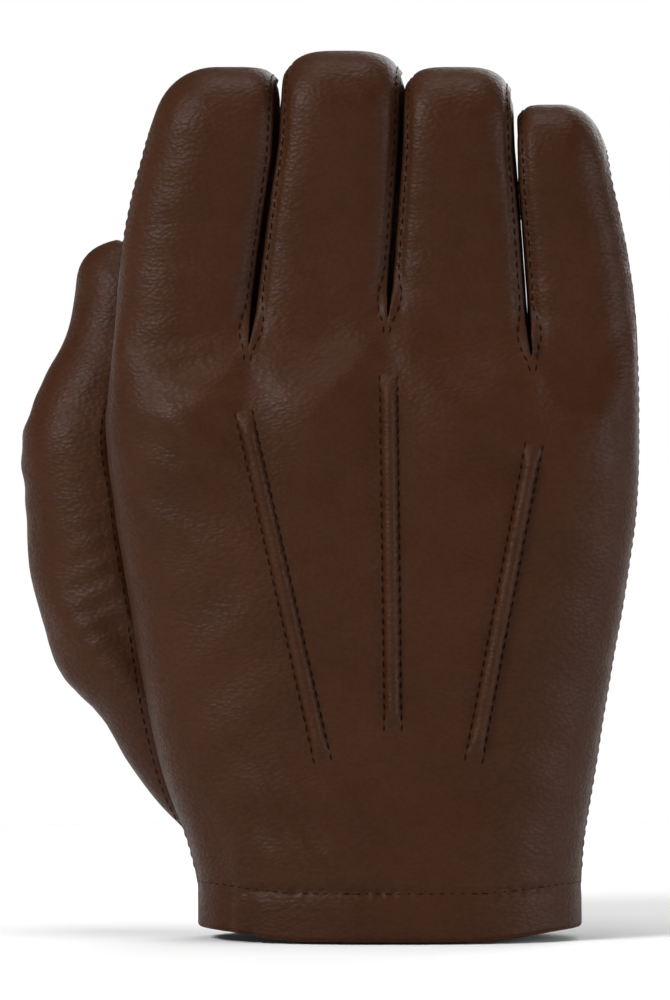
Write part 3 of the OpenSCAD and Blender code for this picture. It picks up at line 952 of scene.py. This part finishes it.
def thumb_hide(shape, seams):
    sheets = []
    for side, start, end in zip(("palm", "back"), THUMB_SEAMS, THUMB_SEAMS[1:]):
        grid = thumb_grid(start, end)
        split = int(np.argmin(np.abs(grid[:THUMB_ROWS, 0, 2] - THUMB_SPLIT_H)))
        parts = ((0, f"thumb_root_{side}"), (split, f"thumb_tip_{side}"))
        sheets.append(Sheet(grid, parts, ("plain", "plain")))
    hide = Hide(sheets)
    hide.move_out(thumb_folds(hide.points, shape))
    hide.sew(seams)
    # Only the leather that shows outside the hand is kept, and its lower edge is tucked in.
    depth = outside_hand(hide.points)
    hide.shown = (depth[hide.quads].max(axis=1) > -0.0016)
    # The colour darkens where the thumb meets the hand: painted shade in that crease.
    hide.painted_shade = np.maximum(hide.painted_shade, bump(np.clip(depth, 0, None), 0.0030) * (hide.points[:, 2] < 0.1))
    return hide, sheets


def build_thumb(shape, seams, looks):
    """The thumb's root and tip."""
    hide, _ = thumb_hide(shape, seams)
    leather = leather_material("leather_thumb", looks)
    for part in dict.fromkeys(hide.labels.tolist()):
        chosen = (hide.labels == part) & hide.shown
        piece = leather_piece(f"{part}_leather", hide, chosen, shape.leather, leather)
        follow(piece, part)
        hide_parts(part)


# ---------------------------------------------------------------- points

# Each point's lower and upper end, across and up the back.
POINTS = (
    ("point_index", (-0.0120, 0.0313), (-0.0270, 0.0974)),
    ("point_middle", (0.0004, 0.0368), (-0.0004, 0.1040)),
    ("point_ring", (0.0147, 0.0313), (0.0263, 0.0915)),
)
POINT_ROWS = 96
POINT_COLUMNS = 12


def back_finder(hide):
    """A tree that finds the glove's back under a point."""
    back = np.array(["back" in label for label in hide.labels])
    return BVHTree.FromPolygons(hide.points.tolist(), hide.quads[back].tolist())


def on_back(tree, x, z):
    """The spot on the back at x and z, and its direction outwards."""
    spot, out, _, _ = tree.ray_cast(Vector((x, -0.1, z)), Vector((0, 1, 0)))
    if spot is None:
        raise RuntimeError(f"no leather at {x}, {z}")
    return np.array(spot), np.array(out if out.y < 0 else -out)


def point_row(tree, low, high, across, rows):
    """Spots and directions along a point, moved sideways by a distance."""
    low, high = np.array(low), np.array(high)
    along = (high - low) / np.linalg.norm(high - low)
    side = np.array([along[1], -along[0]])
    spots = [on_back(tree, *(low + (high - low) * t + side * across)) for t in rows]
    return np.array([s for s, _ in spots]), np.array([n for _, n in spots])


def build_points(shape, seams, looks):
    """Three raised tucks on the back."""
    hide, _, _ = glove_hide(shape, seams)
    tree = back_finder(hide)
    leather = leather_material("leather_points", looks)
    rows = np.linspace(0, 1, POINT_ROWS)
    for name, low, high in POINTS:
        reach = math.dist(low, high)
        from_end = np.minimum(rows, 1 - rows) * reach
        # A tuck keeps its width to its ends, where it opens out a little and sinks into the back.
        ends = smoothstep(from_end / 0.0055)
        flare = 1 + 0.35 * bump(from_end, 0.003)
        pinch = 1 - 0.16 * (0.5 + 0.5 * np.cos(2 * math.pi * rows * reach / seams.stitch_pitch))
        half = 0.5 * seams.point_w * flare * pinch
        middle, middle_outs = point_row(tree, low, high, 0.0, rows)
        far = {}
        for side in (-1, 1):
            far[side] = point_row(tree, low, high, side * 0.5 * seams.point_w, rows)
        columns = []
        for u in np.linspace(-1, 1, POINT_COLUMNS + 1):
            edge, edge_outs = far[-1 if u < 0 else 1]
            share = (abs(u) * half / (0.5 * seams.point_w))[:, None]
            spots = middle + (edge - middle) * share
            outs = middle_outs + (edge_outs - middle_outs) * share
            rise = seams.point_h * (1 - abs(u) ** 2.2) ** 0.75 * ends
            columns.append(spots + outs * (rise - 0.00016)[:, None])
        grid = np.stack(columns, 1)
        tuck = Hide([Sheet(grid, ((0, name),), (None, None))])
        # The colour darkens towards the tuck's feet: painted shade beside the raised tuck.
        tuck.painted_shade = np.tile(np.abs(np.linspace(-1, 1, POINT_COLUMNS + 1)) ** 3, POINT_ROWS)
        tuck.painted_shade = tuck.painted_shade[np.argsort(tuck.sheets[0].ids.reshape(-1), kind="stable")]
        piece = leather_piece(
            f"{name}_tuck", tuck, tuck.labels == name, shape.leather, leather
        )
        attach(piece, "hand")
        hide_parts(name)


# ---------------------------------------------------------------- stitches

# How far before and after a stitch its direction is read, and the most that it leans.
LOOK_AHEAD = 0.0004
STITCH_SLANT = 0.09


class Stitches:
    """The places of all stitches that move together."""

    def __init__(self):
        self.spots, self.along, self.out = [], [], []

    def sew(self, line, outs, seams, sink=0.6):
        """Spaces stitches evenly along a line on the leather."""
        if len(line) < 2:
            return
        step = np.linalg.norm(np.diff(line, axis=0), axis=1)
        run = np.concatenate([[0], np.cumsum(step)])
        count = int(run[-1] / seams.stitch_pitch)
        if count < 1:
            return
        at = (np.arange(count) + 0.5) * run[-1] / count
        spots = along_run(at, run, line)
        ahead, behind = along_run(at + LOOK_AHEAD, run, line), along_run(at - LOOK_AHEAD, run, line)
        out = along_run(at, run, outs)
        out = out / np.maximum(np.linalg.norm(out, axis=1, keepdims=True), 1e-12)
        self.spots.append(spots + out * seams.thread * (0.5 - sink))
        self.along.append(ahead - behind)
        self.out.append(out)


def stitch_tree(thread):
    """Puts a small rounded stitch on every point of a mesh, along its attributes."""
    tree = bpy.data.node_groups.new("glove_stitches", "GeometryNodeTree")
    for name, way, kind in (
        ("Geometry", "INPUT", "Geometry"), ("Stitch Length", "INPUT", "Float"),
        ("Thread Thickness", "INPUT", "Float"), ("Slant", "INPUT", "Float"),
        ("Seed", "INPUT", "Int"), ("Geometry", "OUTPUT", "Geometry"),
    ):
        tree.interface.new_socket(name, in_out=way, socket_type=f"NodeSocket{kind}")
    nodes, link = tree.nodes, tree.links.new
    given, result = nodes.new("NodeGroupInput"), nodes.new("NodeGroupOutput")
    ball = new_node(nodes, "GeometryNodeMeshUVSphere", {"Segments": 7, "Rings": 5, "Radius": 0.5})
    size = nodes.new("ShaderNodeCombineXYZ")
    along, out = (
        new_node(nodes, "GeometryNodeInputNamedAttribute", data_type="FLOAT_VECTOR")
        for _ in range(2)
    )
    along.inputs["Name"].default_value = "along"
    out.inputs["Name"].default_value = "out"
    first = new_node(nodes, "FunctionNodeAlignRotationToVector", axis="X")
    second = new_node(nodes, "FunctionNodeAlignRotationToVector", axis="Z", pivot_axis="X")
    chance = new_node(nodes, "FunctionNodeRandomValue", data_type="FLOAT")
    turn = new_node(nodes, "FunctionNodeAxisAngleToRotation", {"Axis": (0, 0, 1)})
    back = new_node(nodes, "ShaderNodeMath", {1: -1.0}, operation="MULTIPLY")
    both = new_node(nodes, "FunctionNodeRotateRotation", rotation_space="LOCAL")
    spread_out = nodes.new("GeometryNodeInstanceOnPoints")
    real = nodes.new("GeometryNodeRealizeInstances")
    paint = new_node(nodes, "GeometryNodeSetMaterial", {"Material": thread})
    link(given.outputs["Stitch Length"], size.inputs["X"])
    link(given.outputs["Thread Thickness"], size.inputs["Y"])
    link(given.outputs["Thread Thickness"], size.inputs["Z"])
    link(along.outputs["Attribute"], first.inputs["Vector"])
    link(first.outputs["Rotation"], second.inputs["Rotation"])
    link(out.outputs["Attribute"], second.inputs["Vector"])
    link(given.outputs["Slant"], back.inputs[0])
    link(back.outputs["Value"], chance.inputs[2])
    link(given.outputs["Slant"], chance.inputs[3])
    link(given.outputs["Seed"], chance.inputs["Seed"])
    link(chance.outputs[1], turn.inputs["Angle"])
    link(second.outputs["Rotation"], both.inputs["Rotation"])
    link(turn.outputs["Rotation"], both.inputs["Rotate By"])
    link(given.outputs["Geometry"], spread_out.inputs["Points"])
    link(ball.outputs["Mesh"], spread_out.inputs["Instance"])
    link(both.outputs["Rotation"], spread_out.inputs["Rotation"])
    link(size.outputs["Vector"], spread_out.inputs["Scale"])
    link(spread_out.outputs["Instances"], real.inputs["Geometry"])
    link(real.outputs["Geometry"], paint.inputs["Geometry"])
    link(paint.outputs["Geometry"], result.inputs["Geometry"])
    return tree


def stitched_piece(name, stitches, tree, seams, thread, seed):
    """A mesh of real stitches, made by the node tree from their places."""
    spots = np.concatenate(stitches.spots)
    base = bpy.data.meshes.new(name)
    base.from_pydata(spots.tolist(), [], [])
    for key, rows in (("along", stitches.along), ("out", stitches.out)):
        values = np.concatenate(rows).astype(np.float32)
        base.attributes.new(key, "FLOAT_VECTOR", "POINT").data.foreach_set("vector", values.reshape(-1))
    piece = bpy.data.objects.new(name, base)
    bpy.context.scene.collection.objects.link(piece)
    nodes = piece.modifiers.new("stitches", "NODES")
    nodes.node_group = tree
    values = {
        "Stitch Length": seams.stitch_length, "Thread Thickness": seams.thread,
        "Slant": STITCH_SLANT, "Seed": seed,
    }
    for item in tree.interface.items_tree:
        if item.in_out == "INPUT" and item.name in values:
            nodes[item.identifier] = values[item.name]
    bpy.context.view_layer.update()
    graph = bpy.context.evaluated_depsgraph_get()
    made = bpy.data.meshes.new_from_object(piece.evaluated_get(graph))
    piece.modifiers.clear()
    piece.data = made
    made.name = name
    made.materials.clear()
    made.materials.append(thread)
    made.polygons.foreach_set("use_smooth", [True] * len(made.polygons))
    bpy.data.meshes.remove(base)
    return piece


def finger_stitches(hide, stations, sheets, seams, shape, groups):
    """Rows of stitches beside every slit, along the outer seams and round the hem."""
    hem_row = int(np.sum(HAND_ROWS <= HEM_H + 1e-6)) - 1
    for (f, kind), sheet in sheets.items():
        if "side" in kind:
            continue
        st = stations[f]
        finger = FINGERS[f]
        hem = sheet.ids[hem_row]
        groups.setdefault("hand", Stitches()).sew(hide.points[hem], hide.normals[hem], seams, 0.8)
        breaks = (row_at(STARTS[f], shape), len(HAND_ROWS) + split_row(st))
        last = len(HAND_ROWS) + int(np.sum(st["to_end"] > 0.009))
        for end in (0, 1):
            seam_row = sheet.seam_rows[end]
            if seam_row is None and kind == "palm":
                continue
            first = hem_row + 4 if seam_row is None else seam_row - 3
            for part, start, stop in (
                ("hand", first, breaks[0]), (f"{finger}_lower", *breaks),
                (f"{finger}_upper", breaks[1], last),
            ):
                rows = np.arange(start, stop + 1)
                inset = np.full(len(rows), float(seams.stitch_inset))
                if seam_row is not None:
                    inset = 0.0005 + (inset - 0.0005) * smoothstep((rows - seam_row + 3.2) / 7.0)
                line, outs = hide.line(sheet, end, rows, inset)
                groups.setdefault(part, Stitches()).sew(line, outs, seams)


def thumb_stitches(shape, seams, groups):
    """Rows beside the thumb's seams, and the row round its foot."""
    hide, sheets = thumb_hide(shape, seams)
    for sheet in sheets:
        split = sheet.parts[1][0]
        for end in (0, 1):
            last = int(np.sum(sheet.grid[:, 0, 2] < THUMB_TOP - 0.007))
            rows = np.arange(last)
            line, outs = hide.line(sheet, end, rows, np.full(len(rows), seams.stitch_inset + 0.0004))
            clear = np.flatnonzero(outside_hand(line) > 0.0012)
            if not len(clear):
                continue
            first = clear[0]
            for part, a, b in (("thumb_root", first, split), ("thumb_tip", max(first, split), last - 1)):
                if b > a:
                    groups.setdefault(part, Stitches()).sew(line[a:b + 1], outs[a:b + 1], seams)
    foot = []
    for sheet in sheets:
        grid, normals = hide.points[sheet.ids], hide.normals[sheet.ids]
        rows, cols = grid.shape[:2]
        depth = outside_hand(grid.reshape(-1, 3)).reshape(rows, cols) - 0.0016
        for col in range(cols):
            crossing = np.flatnonzero((depth[:-1, col] < 0) & (depth[1:, col] >= 0))
            for row in crossing[:1]:
                t = -depth[row, col] / (depth[row + 1, col] - depth[row, col])
                spot = grid[row, col] + t * (grid[row + 1, col] - grid[row, col])
                foot.append((spot, normals[row, col]))
    run = [foot[0]]
    lines = [run]
    for spot, out in foot[1:]:
        if np.linalg.norm(spot - run[-1][0]) > 0.006:
            run = []
            lines.append(run)
        run.append((spot, out))
    for run in lines:
        if len(run) > 4:
            line, outs = np.array([s for s, _ in run]), np.array([n for _, n in run])
            groups.setdefault("thumb_root", Stitches()).sew(line, outs, seams)


def build_stitches(shape, seams, looks):
    """All the sewing thread, in one mesh for each part that moves by itself."""
    hide, stations, sheets = glove_hide(shape, seams)
    groups = {}
    finger_stitches(hide, stations, sheets, seams, shape, groups)
    tree = back_finder(hide)
    for _, low, high in POINTS:
        for side in (-1, 1):
            across = side * (seams.point_w / 2 - 0.00005)
            line, outs = point_row(tree, low, high, across, np.linspace(0.015, 0.985, 80))
            groups["hand"].sew(line, outs, seams)
    thumb_stitches(shape, seams, groups)
    thread = thread_material(looks)
    nodes = stitch_tree(thread)
    for seed, (part, stitches) in enumerate(groups.items()):
        piece = stitched_piece(f"{part}_stitches", stitches, nodes, seams, thread, seed)
        follow(piece, part)


# ---------------------------------------------------------------- materials

def leather_material(name, looks, turned=False):
    """Smooth dyed glove leather: fine grain, soft mottling, painted shade along the seams and a satin
    face.
    """
    material, nodes, link, shader, where = new_material(name)

    def noise(scale, detail, rough=0.5):
        inputs = {"Scale": scale, "Detail": detail, "Roughness": rough}
        node = new_node(nodes, "ShaderNodeTexNoise", inputs)
        link(where, node.inputs["Vector"])
        return node.outputs["Fac"]

    def ranged(value, low, high, to_low, to_high):
        node = new_node(nodes, "ShaderNodeMapRange", ranged_inputs(low, high, to_low, to_high))
        link(value, node.inputs["Value"])
        return node.outputs["Result"]

    def math_node(kind, a, b):
        node = new_node(nodes, "ShaderNodeMath", operation=kind)
        for socket, value in zip(node.inputs, (a, b)):
            if isinstance(value, (int, float)):
                socket.default_value = value
            else:
                link(value, socket)
        return node.outputs["Value"]

    def mixed(factor, a, b):
        node = new_node(nodes, "ShaderNodeMix", data_type="RGBA", blend_type="MIX")
        link(factor, node.inputs["Factor"])
        for socket, value in ((node.inputs[6], a), (node.inputs[7], b)):
            if isinstance(value, tuple):
                socket.default_value = value
            else:
                link(value, socket)
        return node.outputs[2]

    # Grain: small rounded cells with fine creases between them, drawn out across the hand.
    cells = new_node(nodes, "ShaderNodeTexVoronoi", feature="SMOOTH_F1")
    for key, value in (("Scale", 1550), ("Smoothness", 0.35), ("Randomness", 0.95)):
        cells.inputs[key].default_value = value
    stretch = new_node(nodes, "ShaderNodeMapping", {"Scale": (0.62, 0.62, 1.0)})
    link(where, stretch.inputs["Vector"])
    link(stretch.outputs["Vector"], cells.inputs["Vector"])
    grain = ranged(cells.outputs["Distance"], 0.15, 0.75, 0.0, 1.0)
    pores = noise(3600, 3, 0.6)
    creases = noise(300, 2, 0.45)
    clouds = noise(55, 2, 0.5)
    blotches = noise(260, 3, 0.5)

    tone = math_node("MULTIPLY", ranged(clouds, 0.34, 0.68, 0.0, 1.0), 0.65)
    tone = math_node("ADD", tone, math_node("MULTIPLY", ranged(blotches, 0.3, 0.72, 0.0, 1.0), 0.35))
    colour = mixed(tone, tuple(looks.dark), tuple(looks.light))
    darker = ranged(grain, 0.45, 1.0, 0.0, 0.30)
    shade = tuple(value * 0.55 for value in looks.dark[:3]) + (1.0,)
    colour = mixed(darker, colour, shade)
    # Painted shade: the colour darkens towards the seams, the thumb's foot and the tucks' feet.
    near = nodes.new("ShaderNodeAttribute")
    near.attribute_name = "painted_seam_shade"
    colour = mixed(ranged(near.outputs["Fac"], 0.25, 1.0, 0.0, 0.5), colour, shade)
    link(colour, shader.inputs["Base Color"])

    rough = ranged(blotches, 0.3, 0.7, looks.roughness - 0.05, looks.roughness + 0.07)
    rough = math_node("ADD", rough, math_node("MULTIPLY", grain, 0.09))
    link(rough, shader.inputs["Roughness"])
    shader.inputs["Specular IOR Level"].default_value = 0.08 if turned else 0.12

    height = math_node("MULTIPLY", grain, -0.55)
    height = math_node("ADD", height, math_node("MULTIPLY", pores, 0.20))
    fine = new_node(nodes, "ShaderNodeBump", {"Strength": 0.9, "Distance": 0.00014})
    link(height, fine.inputs["Height"])
    soft = new_node(nodes, "ShaderNodeBump", {"Strength": 0.25, "Distance": 0.00035})
    link(creases, soft.inputs["Height"])
    link(fine.outputs["Normal"], soft.inputs["Normal"])
    link(soft.outputs["Normal"], shader.inputs["Normal"])
    return material


def thread_material(looks):
    """Waxed thread, with its twist."""
    material, nodes, link, shader, where = new_material("thread")
    twist = new_node(
        nodes, "ShaderNodeTexWave", {"Scale": 1400, "Distortion": 1.5}, bands_direction="DIAGONAL",
    )
    link(where, twist.inputs["Vector"])
    ramp = nodes.new("ShaderNodeValToRGB")
    lit = tuple(looks.thread_colour)
    ramp.color_ramp.elements[0].color = tuple(value * 0.6 for value in lit[:3]) + (1.0,)
    ramp.color_ramp.elements[1].color = lit
    link(twist.outputs["Fac"], ramp.inputs["Fac"])
    link(ramp.outputs["Color"], shader.inputs["Base Color"])
    shader.inputs["Roughness"].default_value = 0.7
    shader.inputs["Specular IOR Level"].default_value = 0.05
    bump_node = new_node(nodes, "ShaderNodeBump", {"Strength": 0.6, "Distance": 0.00005})
    link(twist.outputs["Fac"], bump_node.inputs["Height"])
    link(bump_node.outputs["Normal"], shader.inputs["Normal"])
    return material


# ---------------------------------------------------------------- stage

VIEW_MIDDLE = Vector((-0.0101, 0.0, 0.0800))
VIEW_HEIGHT = 0.1838
VIEW_FAR = 1.3
FLOOR_RADIUS = 0.46
FLOOR_CORNERS = 96
FLOOR_DROP = 0.0004
FLOOR_SPECKLE = 0.985
# The wall's brightness falls from the first strength to the second between two heights on the sphere.
WALL_FADE = (0.09, 0.24, 1.0, 0.14)
# Each light's name, place, size and power.
LIGHTS = (
    ("key", (-0.72, -0.66, 0.70), 0.42, 13.0),
    ("fill", (1.00, -0.30, 0.25), 0.55, 5.0),
    ("top", (0.00, 0.00, 1.10), 0.60, 5.0),
    ("behind", (0.35, 0.90, 0.50), 0.70, 5.0),
)


def build_stage(looks):
    """A pale floor, soft lights and the camera."""
    mesh = bpy.data.meshes.new("floor")
    turns = [2 * math.pi * k / FLOOR_CORNERS for k in range(FLOOR_CORNERS)]
    ring = [(FLOOR_RADIUS * math.cos(turn), FLOOR_RADIUS * math.sin(turn), 0) for turn in turns]
    mesh.from_pydata(ring, [], [list(range(FLOOR_CORNERS))])
    material, nodes, link, shader, where = new_material("floor")
    shader.inputs["Roughness"].default_value = 0.9
    speckle = new_node(nodes, "ShaderNodeTexNoise", {"Scale": 40})
    ramp = nodes.new("ShaderNodeValToRGB")
    darker = tuple(value * FLOOR_SPECKLE for value in looks.floor[:3]) + (1.0,)
    ramp.color_ramp.elements[0].color = darker
    ramp.color_ramp.elements[1].color = tuple(looks.floor)
    link(where, speckle.inputs["Vector"])
    link(speckle.outputs["Fac"], ramp.inputs["Fac"])
    link(ramp.outputs["Color"], shader.inputs["Base Color"])
    floor = place("floor", mesh, material)
    floor.location.z = -FLOOR_DROP

    # The studio's walls are white along the horizon and dim above it.
    world = bpy.data.worlds.new("studio")
    world.use_nodes = True
    nodes, link = world.node_tree.nodes, world.node_tree.links.new
    split = nodes.new("ShaderNodeSeparateXYZ")
    level = new_node(nodes, "ShaderNodeMath", operation="ABSOLUTE")
    fade = new_node(nodes, "ShaderNodeMapRange", interpolation_type="SMOOTHSTEP")
    for socket, amount in ranged_inputs(*WALL_FADE).items():
        fade.inputs[socket].default_value = amount
    link(nodes.new("ShaderNodeTexCoord").outputs["Generated"], split.inputs["Vector"])
    link(split.outputs["Z"], level.inputs[0])
    link(level.outputs["Value"], fade.inputs["Value"])
    link(fade.outputs["Result"], nodes["Background"].inputs["Strength"])
    nodes["Background"].inputs["Color"].default_value = (1.0, 1.0, 1.0, 1.0)
    bpy.context.scene.world = world
    bpy.context.scene.view_settings.view_transform = "Standard"

    for name, spot, size, power in LIGHTS:
        light = bpy.data.lights.new(name, "AREA")
        light.shape = "DISK"
        light.size = size
        light.energy = power
        lamp = bpy.data.objects.new(name, light)
        lamp.location = spot
        lamp.rotation_euler = (VIEW_MIDDLE - Vector(spot)).to_track_quat("-Z", "Y").to_euler()
        bpy.context.scene.collection.objects.link(lamp)

    lens = bpy.data.cameras.new("camera")
    lens.sensor_width = 36
    lens.lens = lens.sensor_width * VIEW_FAR / VIEW_HEIGHT
    lens.clip_start, lens.clip_end = 0.05, 20
    camera = bpy.data.objects.new("camera", lens)
    camera.location = VIEW_MIDDLE + Vector((0, -VIEW_FAR, 0))
    camera.rotation_euler = (math.radians(90), 0, 0)
    bpy.context.scene.collection.objects.link(camera)
    bpy.context.scene.camera = camera


# ---------------------------------------------------------------- operators

class GLOVE_OT_leather(bpy.types.Operator):
    """Builds the hand's panels and the fingers"""

    bl_idname = "glove.leather"
    bl_label = "Hand and fingers"

    def execute(self, context):
        scene = context.scene
        build_leather(scene.glove_shape, scene.glove_seams, scene.glove_looks)
        return {"FINISHED"}


class GLOVE_OT_hem(bpy.types.Operator):
    """Builds the turned hem of the cuff"""

    bl_idname = "glove.hem"
    bl_label = "Hem"

    def execute(self, context):
        scene = context.scene
        build_hem(scene.glove_shape, scene.glove_seams, scene.glove_looks)
        return {"FINISHED"}


class GLOVE_OT_thumb(bpy.types.Operator):
    """Builds the thumb"""

    bl_idname = "glove.thumb"
    bl_label = "Thumb"

    def execute(self, context):
        scene = context.scene
        build_thumb(scene.glove_shape, scene.glove_seams, scene.glove_looks)
        return {"FINISHED"}


class GLOVE_OT_points(bpy.types.Operator):
    """Builds the three raised points on the back"""

    bl_idname = "glove.points"
    bl_label = "Points"

    def execute(self, context):
        scene = context.scene
        build_points(scene.glove_shape, scene.glove_seams, scene.glove_looks)
        return {"FINISHED"}


class GLOVE_OT_stitches(bpy.types.Operator):
    """Sews every seam with separate stitches"""

    bl_idname = "glove.stitches"
    bl_label = "Stitches"

    def execute(self, context):
        scene = context.scene
        build_stitches(scene.glove_shape, scene.glove_seams, scene.glove_looks)
        return {"FINISHED"}


class GLOVE_OT_stage(bpy.types.Operator):
    """Builds the floor, the lights and the camera"""

    bl_idname = "glove.stage"
    bl_label = "Stage"

    def execute(self, context):
        build_stage(context.scene.glove_looks)
        return {"FINISHED"}


class GLOVE_PT_panel(bpy.types.Panel):
    """Lists the glove's groups of pieces in the order they are built"""

    bl_idname = "GLOVE_PT_panel"
    bl_label = "Leather Dress Glove"
    bl_space_type = "VIEW_3D"
    bl_region_type = "UI"
    bl_category = "Glove"

    def draw(self, context):
        for operator in OPERATORS:
            self.layout.operator(operator.bl_idname)
        for key in ("glove_shape", "glove_seams", "glove_looks"):
            group = getattr(context.scene, key)
            box = self.layout.box()
            for name in group.bl_rna.properties.keys():
                if name not in ("rna_type", "name"):
                    box.prop(group, name)


OPERATORS = (
    GLOVE_OT_leather, GLOVE_OT_hem, GLOVE_OT_thumb, GLOVE_OT_points, GLOVE_OT_stitches,
    GLOVE_OT_stage,
)
CLASSES = (GloveShape, GloveSeams, GloveLooks, *OPERATORS, GLOVE_PT_panel)


def register():
    for cls in CLASSES:
        bpy.utils.register_class(cls)
    bpy.types.Scene.glove_shape = bpy.props.PointerProperty(type=GloveShape)
    bpy.types.Scene.glove_seams = bpy.props.PointerProperty(type=GloveSeams)
    bpy.types.Scene.glove_looks = bpy.props.PointerProperty(type=GloveLooks)


def unregister():
    del bpy.types.Scene.glove_shape
    del bpy.types.Scene.glove_seams
    del bpy.types.Scene.glove_looks
    for cls in reversed(CLASSES):
        bpy.utils.unregister_class(cls)


def main():
    register()
    bpy.ops.glove.leather()
    bpy.ops.glove.hem()
    bpy.ops.glove.thumb()
    bpy.ops.glove.points()
    bpy.ops.glove.stitches()
    bpy.ops.glove.stage()


if __name__ == "__main__":
    main()
